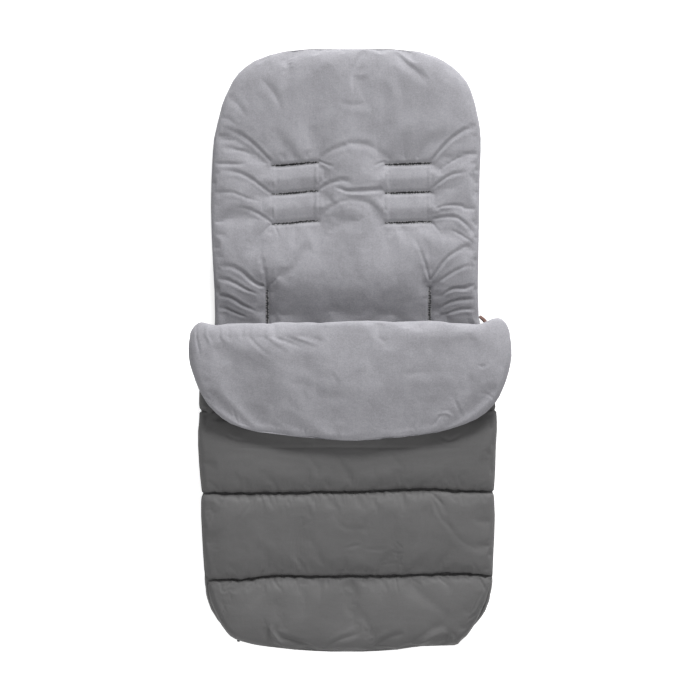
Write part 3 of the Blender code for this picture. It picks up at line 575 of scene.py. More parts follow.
PLUSH = plush_material("plush_cloth", (0.2975, 0.2945, 0.3160))
SHELL = shell_material("shell_cloth", (0.1026, 0.1012, 0.1021))
WALL_CLOTH = shell_material("wall_cloth", (0.105, 0.105, 0.107))
# Slot facings: dark partly because the cloth is dark and partly as painted shade inside the slits
FACING_CLOTH_AND_PAINTED_SHADE = woven_material("facing_cloth", (0.10, 0.10, 0.106), 0.0007)
TAPE_CLOTH = woven_material("tape_cloth", (0.045, 0.045, 0.047), 0.0006)
GRIP_CLOTH = dotted_material("grip_cloth", (0.02, 0.02, 0.021))
BLACK_PLASTIC = plastic_material("black_plastic", (0.014, 0.014, 0.015))
DARK_STEEL = metal_material("dark_steel", (0.09, 0.09, 0.095))
LEATHER = leather_material("brown_leather", (0.105, 0.048, 0.036))
DARK_THREAD = thread_material("dark_thread", (0.03, 0.03, 0.031))
PALE_THREAD = thread_material("pale_thread", (0.42, 0.42, 0.43))


def dress(obj, material, body, slot, *nodes):
    """Gives a piece its material and body, and hides the CAD nodes that it stands for. slot is not used."""
    obj.data.materials.clear()
    obj.data.materials.append(material)
    if body:
        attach(obj, body)
    if nodes:
        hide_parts(*nodes)
    return obj


# Outlines read off the photograph: row, left edge, right edge

BACK_ROWS = (
    (49, 315.4, 384.3), (50, 302, 398), (52, 283, 419.5), (55, 269.9, 430.3), (58, 261.9, 438.1),
    (61, 254, 444.1), (67, 245, 453), (73, 238, 460), (81, 232, 467), (89, 228, 471.1), (97, 224, 474),
    (105, 221, 476.3), (113, 219, 478), (121, 216.9, 479.8), (129, 215, 481), (137, 213.2, 481.6),
    (150, 212, 481.6), (164, 211.2, 481), (178, 210.6, 480.4), (206, 210, 480), (234, 210.7, 479.7),
    (262, 212, 479.1), (290, 213.6, 478.8), (318, 214.2, 479.5), (336, 214.2, 482), (360, 213.5, 483.5),
)
APRON_ROWS = (
    (330, 200.5, 496), (403, 199, 495), (407.4, 199.6, 495.6), (409.4, 202.4, 493.8), (411.6, 199.4, 496.4),
    (421, 199, 497), (430, 198, 497), (445, 198, 496),
    (463, 199, 495.5), (475, 200, 495), (487, 201.4, 494.2), (489.6, 201.8, 493.8), (491.8, 203.9, 491.6),
    (494, 201.6, 493.8), (499, 201, 494.2), (515, 201, 495), (535, 202, 494.4),
    (553, 203, 493.5), (565, 204, 493), (575, 205.6, 492.6), (578.8, 208.4, 490.8), (581.6, 206.6, 491.8),
    (589, 208, 489.5), (601, 210, 486), (613, 215.4, 480.6), (619, 218.4, 477.6), (625, 221.6, 474),
    (631, 226, 470), (635.5, 230, 466.6), (638.5, 235, 463), (641, 242, 460.4), (643.4, 251, 458.4),
    (644.6, 257, 455), (645.4, 262, 424), (647, 276, 411), (649, 294, 398),
    (650.2, 312, 380), (651, 332, 362),
)
FLAP_ROWS = (
    (336.7, 191, 509), (342, 190, 510), (348, 189.6, 510.4), (356, 189.8, 510.6), (364, 191, 509.4),
    (372, 193.5, 507.6), (380, 196.4, 505.2), (388, 199.6, 502), (396, 204, 498.4), (404, 209, 493),
    (412, 216.5, 485), (418, 223.5, 476), (423, 232, 464), (427, 244, 451), (431, 261, 436),
    (434, 280, 420), (436.5, 300, 402), (438.5, 334, 372), (439, 346, 362),
)


def edges_at(rows, y):
    """Left and right edges in metres of an outline at Y, from its rows."""
    places = [(at(0, row)[1], at(left, 0)[0], at(right, 0)[0]) for row, left, right in rows]
    ys, lefts, rights = np.array(places)[::-1].T
    return np.interp(y, ys, lefts), np.interp(y, ys, rights)


def even_rows(left, right, y, step):
    """Values of Y about step apart along the edges, rather than along Y."""
    run = np.hypot(np.diff(left), np.diff(y)) + np.hypot(np.diff(right), np.diff(y))
    run = run_of(run / 2)
    count = max(int(round(run[-1] / step)), 1)
    return np.interp(np.linspace(0, run[-1], count + 1), run, y)


def outline_between(left, right, y):
    """One line of points: along the left edge and back along the right one."""
    return np.concatenate([np.stack([left, y], -1), np.stack([right, y], -1)[::-1]])


def grid_between(left, right, rows, shares):
    """X and Y of a grid whose rows span the edges, at shares from -1 to 1."""
    x = left[:, None] + (right - left)[:, None] * (shares[None] + 1) / 2
    return x, np.repeat(rows[:, None], len(shares), 1)


def rows_between(rows, start, end, step):
    y = np.linspace(start, end, 3000)
    return even_rows(*edges_at(rows, y), y, step)


def lines_between(breaks, step):
    """Grid lines that pass through every break, about step apart."""
    lines = [breaks[0]]
    for low, high in zip(breaks, breaks[1:]):
        count = max(int(round(abs(high - low) / step)), 1)
        lines += list(np.linspace(low, high, count + 1)[1:])
    return np.array(lines)


# The zip line, as the CAD has it

LINE_STEP = 0.003
TANGENT_REACH = 0.002
SIDE_START = FOOT_ROUND_Y - FOLD_Y
FOOT_START = CORNER_LENGTH + 0.0003


def corner_line():
    """X, Y and the distance run along the line round one foot corner, to the middle."""
    angles = np.linspace(0, math.pi / 2, 400)
    x = ZIP_HALF_WIDTH * np.abs(np.cos(angles)) ** (2 / FOOT_POWER)
    y = FOOT_ROUND_Y - FOOT_ROUND * np.sin(angles) ** (2 / FOOT_POWER)
    x[-1] = 0
    return x, y, run_of(np.hypot(np.diff(x), np.diff(y)))


CORNER_X, CORNER_Y, CORNER_RUN = corner_line()


def station(place, side):
    """X, Y and the outward direction on the zip line, place metres past where the side starts to bend."""
    if place <= 0:
        return np.array([side * ZIP_HALF_WIDTH, FOOT_ROUND_Y - place]), np.array([side, 0.0])
    near = [max(place - TANGENT_REACH, 0), place, min(place + TANGENT_REACH, CORNER_RUN[-1])]
    spots = np.stack([np.interp(near, CORNER_RUN, CORNER_X), np.interp(near, CORNER_RUN, CORNER_Y)], -1)
    along = (spots[2] - spots[0]) / np.hypot(*(spots[2] - spots[0]))
    return spots[1] * (side, 1), np.array([-side * along[1], along[0]])


def line_stations(start, end, side, step=LINE_STEP):
    places = np.linspace(start, end, max(int(abs(end - start) / step), 2) + 1)
    return [(place, *station(place, side)) for place in places]


def foot_stations():
    """Round the foot, from the right corner to the left one."""
    right, left = (line_stations(FOOT_START, CORNER_RUN[-1], side) for side in (1, -1))
    return right + left[-2::-1]


# Back panel: plush liner over the wadding, dark shell below

SHOULDER_XS = (0.054, 0.1281)
WAIST_XS = (0.1281, 0.1331)
CROTCH_X = 0.030
SLOT_HALF = 0.0025
SHOULDER_YS = (0.299, 0.253, 0.205)
WAIST_YS = (-0.001, 0.099)
CROTCH_Y = -0.060

# A waist slot's middle and half sizes
WAIST_SLOT = (0.1306, 0.049, SLOT_HALF, 0.050)

# How the photograph's slots lie: moved across, and each column tilted about its middle
SLOT_SHIFT = 0.0054
SLOT_TILTS = ((0.108, -0.088), (0.045, 0.091))
TILT_REACH = 0.055
HEAD_REACH = 0.0032
HEAD_REACH_START = 0.34

# Half of what the lips leave open at the middle of an upright and of a level slot, and at a slot's ends
UPRIGHT_OPEN, LEVEL_OPEN, LEAST_OPEN = 0.0009, 0.0012, 0.0002
LIP_REACH = 0.006


def back_foot_half(y):
    """Half the back panel's width toward the foot: it narrows round the corners to a fifth."""
    share = np.clip((FOOT_ROUND_Y - y) / (FOOT_ROUND_Y - BACK_FOOT_Y), 0, 1)
    return BACK_HALF_WIDTH * np.maximum((1 - share**FOOT_POWER) ** (1 / FOOT_POWER), 0.2)


def back_edges(y):
    """Left and right edges of the back panel: the photograph's above the fold, the CAD's below it."""
    left, right = edges_at(BACK_ROWS, y)
    half = back_foot_half(y)
    share = ease((0.060 - y) / 0.050)
    return left * (1 - share) - half * share, right * (1 - share) + half * share


def slot_edges():
    """Each slot in plain coordinates: its name, middle and half sizes."""
    places = []
    middle = (SHOULDER_XS[0] + SHOULDER_XS[1]) / 2
    half = (SHOULDER_XS[1] - SHOULDER_XS[0]) / 2
    for row, y in enumerate(SHOULDER_YS, 1):
        for side, name in ((-1, "left"), (1, "right")):
            places.append((f"shoulder_slot_{row}_{name}", side * middle, y, half, SLOT_HALF))
    x, y, half_x, half_y = WAIST_SLOT
    for side, name in ((-1, "left"), (1, "right")):
        places.append((f"waist_slot_{name}", side * x, y, half_x, half_y))
    places.append(("crotch_slot", 0.0, CROTCH_Y, CROTCH_X, SLOT_HALF))
    return places


def back_corner(angles):
    """Values of Y round the back panel's foot corners."""
    return FOOT_ROUND_Y + (BACK_FOOT_Y - FOOT_ROUND_Y) * np.sin(angles) ** (2 / FOOT_POWER)


def back_grid(step, hidden_step):
    """Row Y values, column shares and the cells that are kept, with lines along every slot."""
    xs = lines_between((0, CROTCH_X, *SHOULDER_XS, WAIST_XS[1], BACK_HALF_WIDTH), step)
    shares = np.concatenate([-xs[:0:-1], xs]) / BACK_HALF_WIDTH
    arch = rows_between(BACK_ROWS, BACK_HEAD_Y, BACK_ARCH_Y, step * 1.1)
    slots = [y + side * SLOT_HALF for y in SHOULDER_YS for side in (1, -1)]
    seen = lines_between([BACK_ARCH_Y, *slots, WAIST_YS[1], WAIST_YS[0]], step)
    low = [WAIST_YS[0], CROTCH_Y + SLOT_HALF, CROTCH_Y - SLOT_HALF, FOOT_ROUND_Y]
    hidden = lines_between(low, hidden_step)[1:]
    rows = np.array([*arch[:-1], *seen, *hidden, *back_corner(np.linspace(0.2, math.pi / 2, 14))])
    x_mid = (shares[1:] + shares[:-1]) / 2 * BACK_HALF_WIDTH
    y_mid = (rows[1:] + rows[:-1]) / 2
    keep = np.ones((len(y_mid), len(x_mid)), bool)
    for _, cx, cy, half_x, half_y in slot_edges():
        keep &= ~((np.abs(y_mid - cy) < half_y)[:, None] & (np.abs(x_mid - cx) < half_x)[None])
    return rows, shares, keep


def head_reach(y):
    """The head end lies low, farther from the camera, so it has to reach a little farther out."""
    return HEAD_REACH * ease((y - HEAD_REACH_START) / 0.14)


def warp_back(x, y):
    """Moves straight slots to where the photograph's pulled cloth has them: a little across and tilted."""
    inside = ease((0.206 - np.abs(x)) / 0.07) * ease((0.375 - y) / 0.06) * ease((y - 0.02) / 0.05)
    across = SLOT_SHIFT * inside * ease((y - 0.12) / 0.06)
    lift = 0
    for tilt, middle in SLOT_TILTS:
        near = bell(x - middle, TILT_REACH) * inside * ease((y - 0.14) / 0.05)
        lift = lift + tilt * near * (x - middle)
    return x + across, y + lift + head_reach(y)


def slot_lens(x, y):
    """Draws the two lips of each slot together toward its ends."""
    for _, cx, cy, half_x, half_y in slot_edges():
        upright = half_y > half_x
        along, across = (y - cy, x - cx) if upright else (x - cx, y - cy)
        reach, half = (half_y, half_x) if upright else (half_x, half_y)
        most = UPRIGHT_OPEN if upright else LEVEL_OPEN
        open_half = most * np.sqrt(np.clip(1 - (along / reach) ** 2, 0.02, 1)) + LEAST_OPEN
        fade = np.exp(-np.clip(np.abs(across) - half, 0, 1) / 0.005)
        fade = fade * ease((reach + LIP_REACH - np.abs(along)) / LIP_REACH)
        move = -np.sign(across) * (half - open_half) * fade * np.minimum(np.abs(across) / half, 1)
        x, y = (x + move, y) if upright else (x, y + move)
    return x, y


def back_plan(rows, shares):
    """X and Y of the back's grid: the slots straight, as in the CAD, and only the outer strip uneven."""
    x, y = grid_between(*back_edges(rows), rows, shares)
    plain = shares[None] * BACK_HALF_WIDTH
    inner = ease((0.19 - np.abs(plain)) / 0.045) * ease((0.325 - y) / 0.03) * ease((y + 0.34) / 0.05)
    return x * (1 - inner) + plain * inner, y


def back_outline():
    straight = np.linspace(BACK_HEAD_Y, FOOT_ROUND_Y, 900)
    y = np.concatenate([straight, back_corner(np.linspace(0, math.pi / 2, 200))])
    return outline_between(*back_edges(y), y + head_reach(y))


LINER_VIEW = (200, 37.4, 5.172, 5.172)
LINER_FOLDS = (
    (6.0, 2.3, 0.05, 0.5, ((372, 646), (330, 600), (262, 535), (190, 490), (100, 455))),
    (5.5, 1.2, 0.4, 0.5, ((300, 610), (220, 585), (150, 570), (78, 575))),
    (5.5, 0.9, 0.4, 0.4, ((250, 650), (180, 655), (120, 650), (72, 655))),
    (5.5, 1.9, 0.05, 0.5, ((370, 806), (320, 770), (250, 720), (170, 690), (75, 690))),
    (5.0, 1.0, 0.4, 0.5, ((330, 850), (250, 830), (160, 800), (72, 800))),
    (5.0, 1.5, 0.05, 0.6, ((370, 955), (310, 915), (240, 885), (150, 870))),
    (4.0, 1.0, 0.05, 0.6, ((380, 965), (400, 1010), (415, 1050))),
    (4.0, 0.8, 0.05, 0.6, ((368, 962), (330, 1000), (290, 1060))),
    (6.0, 2.3, 0.05, 0.5, ((335, 1288), (280, 1268), (215, 1210), (150, 1180), (74, 1172))),
    (5.0, 1.8, 0.3, 0.4, ((310, 1330), (240, 1305), (160, 1262), (76, 1238))),
    (5.0, 1.9, 0.3, 0.3, ((300, 1420), (220, 1385), (150, 1345), (76, 1335))),
    (4.5, 1.3, 0.3, 0.4, ((250, 1450), (180, 1425), (120, 1400), (76, 1400))),
    (6.5, 1.1, 0.05, 0.7, ((343, 1290), (333, 1220), (318, 1130), (322, 1040))),
    (4.5, 1.0, 0.05, 0.7, ((350, 1290), (400, 1240), (430, 1180))),
    (5.5, 2.4, 0.05, 0.4, ((1196, 638), (1235, 590), (1290, 530), (1360, 480), (1440, 452))),
    (4.5, 0.9, 0.3, 0.5, ((1215, 700), (1300, 640), (1380, 600), (1446, 585))),
    (5.0, 2.0, 0.05, 0.5, ((1193, 784), (1240, 745), (1310, 705), (1420, 690))),
    (4.5, 1.2, 0.2, 0.5, ((1200, 890), (1260, 870), (1330, 865), (1400, 885), (1446, 880))),
    (5.0, 2.2, 0.05, 0.5, ((1192, 938), (1260, 925), (1330, 930), (1390, 980), (1444, 1035))),
    (4.0, 1.3, 0.05, 0.6, ((1194, 945), (1225, 985), (1250, 1015))),
    (4.5, 1.2, 0.3, 0.4, ((1290, 990), (1350, 1020), (1444, 1080))),
    (5.5, 2.2, 0.05, 0.6, ((1192, 1262), (1235, 1195), (1290, 1130), (1370, 1085), (1440, 1062))),
    (5.0, 1.8, 0.05, 0.7, ((1190, 1262), (1168, 1180), (1130, 1080), (1085, 995))),
    (5.0, 1.5, 0.3, 0.4, ((1215, 1280), (1290, 1225), (1370, 1185), (1440, 1175))),
    (5.0, 1.5, 0.3, 0.3, ((1240, 1340), (1310, 1300), (1380, 1295), (1440, 1270))),
    (5.0, 1.6, 0.3, 0.3, ((1240, 1400), (1310, 1365), (1380, 1355), (1440, 1350))),
    (4.5, 1.3, 0.3, 0.3, ((1250, 1440), (1320, 1415), (1380, 1405), (1440, 1410))),
    (8.0, 1.2, 0.15, 0.15, ((612, 630), (680, 582), (770, 552), (850, 552), (915, 580), (962, 630))),
    (4.0, 1.4, 0.05, 0.4, ((612, 634), (660, 655), (700, 668))),
    (4.0, 1.2, 0.05, 0.4, ((965, 634), (925, 650), (890, 668))),
    (5.5, 2.0, 0.05, 0.3, ((612, 782), (670, 752), (730, 738), (790, 745))),
    (5.5, 2.6, 0.3, 0.05, ((690, 770), (760, 790), (850, 790), (950, 782))),
    (8.0, 0.9, 0.15, 0.15, ((614, 934), (670, 878), (750, 845), (840, 845), (910, 880), (958, 930))),
    (6.0, 0.4, 0.3, 0.3, ((690, 900), (780, 868), (880, 895))),
    (7.5, 0.15, 0.1, 0.1, ((616, 945), (690, 968), (770, 988), (860, 975), (955, 945))),
    *((4.0, 0.5, 0.1, 0.1, (top, low)) for top, low in (
        ((374, 660), (374, 790)), ((610, 640), (612, 775)), ((962, 645), (952, 775)),
        ((1196, 645), (1196, 775)), ((372, 820), (374, 945)), ((612, 795), (614, 930)),
        ((952, 795), (958, 930)), ((1194, 795), (1194, 930)),
    )),
    (11, 1.6, 0.4, 0.4, ((430, 400), (395, 310), (340, 235), (280, 190))),
    (9, 1.1, 0.4, 0.5, ((250, 420), (200, 350), (150, 310), (110, 310))),
    (8, 1.0, 0.4, 0.5, ((205, 470), (150, 420), (100, 405))),
    (7, 1.1, 0.5, 0.3, ((800, 300), (790, 220), (800, 150), (850, 55))),
    (9, -0.9, 0.4, 0.4, ((790, 185), (840, 195), (890, 185))),
    (9, 0.8, 0.4, 0.4, ((700, 330), (800, 350), (900, 330))),
    (10, 0.5, 0.4, 0.4, ((1010, 70), (1060, 130), (1150, 190), (1230, 210))),
    (9, 0.9, 0.4, 0.4, ((1380, 220), (1330, 180), (1260, 150))),
)


def slot_distance(x, y):
    """Distance to the nearest slot, in plain coordinates."""
    nearest = np.full(np.shape(x), FAR)
    for _, cx, cy, half_x, half_y in slot_edges():
        d = np.hypot(np.maximum(np.abs(x - cx) - half_x, 0), np.maximum(np.abs(y - cy) - half_y, 0))
        nearest = np.minimum(nearest, d)
    return nearest


# The patch between the shoulder slots on each side: its middle, half sizes and soft edge
PATCH_X, PATCH_Y = 0.091, 0.252
PATCH_HALF_X, PATCH_HALF_Y = 0.035, 0.049
PATCH_EDGE = 0.006

# Domes of the liner: size, middle X, half width, middle Y, half length
DOMES = ((1, 0.006, 0.036, 0.297, 0.027), (0.6, 0.006, 0.033, 0.221, 0.015))
DOME_HEIGHT = 0.0030
CROWN = 0.0026
BEND_Y = 0.1110
BEND_DEPTH = 0.0078


def between_slots(x, y):
    """1 on the patches between the shoulder slots, which are held flat."""
    across = ease((PATCH_HALF_X - np.abs(np.abs(x) - PATCH_X)) / PATCH_EDGE)
    return across * ease((PATCH_HALF_Y - np.abs(y - PATCH_Y)) / PATCH_EDGE)


def liner_height(plain_x, plain_y, x, y, inside):
    """The plush face: puffed, drawn in at the slots, flat between them, with a dome in the middle."""
    rise = BACK_TOP_Z - SEAM_Z + CROWN * (1 - (x / 0.22) ** 2)
    z = SEAM_Z + 0.0004 + rise * rounded(inside, EDGE_ROUND)
    gap = slot_distance(plain_x, plain_y)
    z -= 0.0030 * bell(gap, 0.013) + 0.0022 * bell(gap, 0.0028)
    flat = between_slots(plain_x, plain_y)
    dome = sum(size * hump(x - cx, wide, y - cy, tall) for size, cx, wide, cy, tall in DOMES)
    soft = ease(inside / 0.02)
    lumps = 0.00080 * layered(x, y, 0.075, 5) + 0.00030 * layered(x, y, 0.024, 9)
    pulled = ease((np.abs(x) - 0.10) / 0.07) + bell(gap, 0.02)
    lumps += 0.0005 * crumple(x, y, 0.026, 13, 0.2, 1.8) * np.minimum(pulled, 1) * ease((0.36 - y) / 0.1)
    z += soft * (lumps * (1 - 0.9 * flat) - 0.0011 * flat + DOME_HEIGHT * dome)
    z += ease(inside / 0.008) * folds(x, y, LINER_FOLDS, LINER_VIEW)
    # the seat's bend: from the waist slots' tops the panel dips toward the fold
    past = np.clip(BEND_Y + 0.0015 * noise(x, x * 0, 0.06, 17) - y, 0, 0.080)
    z -= (BEND_DEPTH * (1 - np.exp(-past / 0.045)) * ease(past / 0.058)) * soft
    return np.maximum(z, SEAM_Z + 0.0006)


# Settings of relax: growth, pressure, most that a point moves, and stiffness in bending
LINER_CLOTH = (0.012, 0.5, 0.006, 2.0)
FLAP_CLOTH = (0.006, 0.35, 0.005, 4.0)
APRON_CLOTH = (0.009, 1.0, 0.005, 1.0)
HELD_EDGE = 0.0015

# Distances between the lines of a grid, where it shows and where it is hidden
LINER_STEPS = (0.0013, 0.0055)
REAR_STEPS = (0.0045, 0.008)


def back_surface(step, hidden_step):
    """The back's grid: plain and final places, distance from the edge, and the cells kept."""
    rows, shares, keep = back_grid(step, hidden_step)
    plain = back_plan(rows, shares)
    x, y = warp_back(*slot_lens(*plain))
    inside = edge_distance(x, y, back_outline(), closed=True)
    inside[[0, -1]] = inside[:, [0, -1]] = 0
    return plain, x, y, inside, keep


def make_back():
    plain, x, y, inside, keep = back_surface(*LINER_STEPS)
    top = height_points(x, y, liner_height(*plain, x, y, inside))
    held = (inside < HELD_EDGE) | (slot_distance(*plain) < 0.0026) | (y < -0.01)
    moves = relax_every(top, held.astype(float), 4, *LINER_CLOTH)
    calm = np.maximum(0.85 * between_slots(*plain), 0.5 * ease((0.135 - y) / 0.06))
    top = top + moves * (1 - calm)[..., None]
    bottom = height_points(x, y, np.full(x.shape, SEAM_Z + 0.0002))
    liner = slab("liner_pad", top, bottom, keep)
    waddings = [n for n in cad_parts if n.startswith("back_wadding")]
    dress(liner, PLUSH, "back", "plush", "back_liner", *waddings)
    return liner


def make_rear():
    """The dark rear shell: its edge rounds in to the floor."""
    _, x, y, inside, keep = back_surface(*REAR_STEPS)
    drop = SEAM_Z - 0.0004 - SHELL_BOTTOM_Z
    ripple = 0.0006 * layered(x, y, 0.03, 21) * ease(inside / 0.01) * ease((0.05 - inside) / 0.02)
    low = SEAM_Z - 0.0003 - drop * rounded(inside, EDGE_ROUND) + np.abs(ripple)
    top = height_points(x, y, np.full(x.shape, SEAM_Z - 0.0001))
    rear = slab("rear_shell", top, height_points(x, y, low), keep)
    dress(rear, WALL_CLOTH, "back", "shell_cloth", "back_shell")


def slot_line(cx, cy, half_x, half_y, step=0.0016, corner=0.0016):
    """Points round a slot's edge, the nearest points of its middle line and the outward directions."""
    ring = []
    for turn, (sx, sy) in enumerate(((1, 1), (-1, 1), (-1, -1), (1, -1))):
        for part in range(5):
            angle = math.pi / 2 * (turn + part / 4)
            ring.append((cx + sx * (half_x - corner) + corner * math.cos(angle),
                         cy + sy * (half_y - corner) + corner * math.sin(angle)))
    line = []
    for a, b in zip(ring, ring[1:] + ring[:1]):
        count = max(int(math.hypot(b[0] - a[0], b[1] - a[1]) / step), 1)
        line += [(a[0] + (b[0] - a[0]) * i / count, a[1] + (b[1] - a[1]) * i / count) for i in range(count)]
    line = np.array(line)
    keep_x, keep_y = max(half_x - half_y, 0), max(half_y - half_x, 0)
    middle = (np.clip(line[:, 0], cx - keep_x, cx + keep_x), np.clip(line[:, 1], cy - keep_y, cy + keep_y))
    edge, middle = (np.stack(warp_back(*slot_lens(*places)), -1) for places in (line.T, middle))
    return [(e, m, (e - m) / np.hypot(*(e - m))) for e, m in zip(edge, middle)]


LIP_STAND = 0.0008


def make_facings(ground):
    """A turned band of cloth in every slot: it narrows to a slit inside and widens to both faces. Its dark
    colour is partly the cloth's own and partly painted shade for the deep slit.
    """
    for name, *slot in slot_edges():
        rings = []
        for e, m, out in slot_line(*slot):
            lip = ground(*(e + out * LIP_STAND))
            # share of the way to the slot's middle, distance outward, height
            section = (
                (0, 0.0007, lip - 0.0004), (0, -0.0002, lip - 0.0010), (0.25, 0, lip - 0.0045),
                (1.03, 0, lip - 0.0078), (1.03, 0, lip - 0.0098), (0.2, 0, 0.0050), (0, -0.0002, 0.0020),
                (0, 0.0006, 0.0020), (0.05, 0.0002, 0.0065), (0.85, 0, lip - 0.0102), (0.85, 0, lip - 0.0086),
                (0.05, 0, lip - 0.0052),
            )
            rings.append([(*(e + (m - e) * share + out * o), z) for share, o, z in section])
        facing = tube(name + "_cloth", rings, closed=True)
        dress(facing, FACING_CLOTH_AND_PAINTED_SHADE, "back", "facing_cloth", name + "_facing")


STITCH_STEP = 0.0008
STITCH_SEED = 7
LOOP_POINTS = 6
THREAD_SIDES = 5
THREAD_RADIUS = 0.00036


def thread_skin(loops):
    """Points and faces of thin open tubes along loops of points."""
    points, quads = [], []
    for loop in loops:
        for index, spot in enumerate(loop):
            ahead = (loop[min(index + 1, LOOP_POINTS - 1)] - loop[max(index - 1, 0)]).normalized()
            wide = ahead.cross(Vector((0, 0, 1))).normalized()
            up = wide.cross(ahead)
            for angle in circle(THREAD_SIDES):
                points.append(tuple(spot + (wide * math.cos(angle) + up * math.sin(angle)) * THREAD_RADIUS))
            if index:
                base = len(points) - 2 * THREAD_SIDES
                for i in range(THREAD_SIDES):
                    a, b = base + i, base + (i + 1) % THREAD_SIDES
                    quads.append((a, b, b + THREAD_SIDES, a + THREAD_SIDES))
    return points, quads


def make_overlock(ground):
    """Overlock stitches round the slots: dark and pale threads that lean over each lip and into the slit."""
    loops = {"dark": [], "pale": []}
    rng = np.random.default_rng(STITCH_SEED)
    for name, *slot in slot_edges():
        upright = "waist" in name
        for e, _, out in slot_line(*slot, STITCH_STEP)[::2]:
            lean = rng.uniform(0.0002, 0.0014)
            far = (0.0013 if upright else 0.0005) + rng.uniform(0, 0.0005)
            near = rng.uniform(0.0004, 0.0012)
            loop = []
            for share in np.linspace(0, 1, LOOP_POINTS):
                o = far * (1 - share) - near * share
                spot = e + out * o + sideways(out) * lean * (share - 0.5)
                rise = 0.0004 * math.sin(math.pi * min(share * 1.2 + 0.1, 1))
                floor = ground(*(e + out * max(o, 0.0004)))
                loop.append(Vector((*spot, floor + rise - 0.0014 * ease((share - 0.5) / 0.5))))
            loops["pale" if rng.uniform() < (0.60 if upright else 0.40) else "dark"].append(loop)
    for tone, thread in (("dark", DARK_THREAD), ("pale", PALE_THREAD)):
        dress(quad_mesh("overlock_" + tone, *thread_skin(loops[tone])), thread, "back", "facing_cloth")


def ground_of(obj):
    """The height of a piece's upper side at a place."""
    tree = BVHTree.FromPolygons(
        [v.co for v in obj.data.vertices], [p.vertices for p in obj.data.polygons], epsilon=0.0
    )

    def height(x, y):
        hit = tree.ray_cast(Vector((x, y, 0.3)), Vector((0, 0, -1)))
        return hit[0].z if hit[0] else SEAM_Z

    return height


# Apron: quilted shell, borders and lining

PANEL_IN = 0.0010
APRON_FOOT_Y = at(0, 651)[1]
CREASE_Y = at(0, 447.3)[1]
SEAM_LINES = (
    ((196, 409.5), (300, 410), (400, 409), (500, 408.5)),
    ((196, 492.8), (230, 492.6), (272, 492.8), (315, 491.8), (357, 491), (399, 489.3), (430, 488.8),
     (462, 490.6), (500, 491.4)),
    ((196, 579.5), (208, 579), (232, 578.6), (243, 579), (272, 574.8), (315, 575.2), (357, 574.8),
     (399, 574.4), (436, 573), (462, 572.6), (478, 574), (500, 575.4)),
)


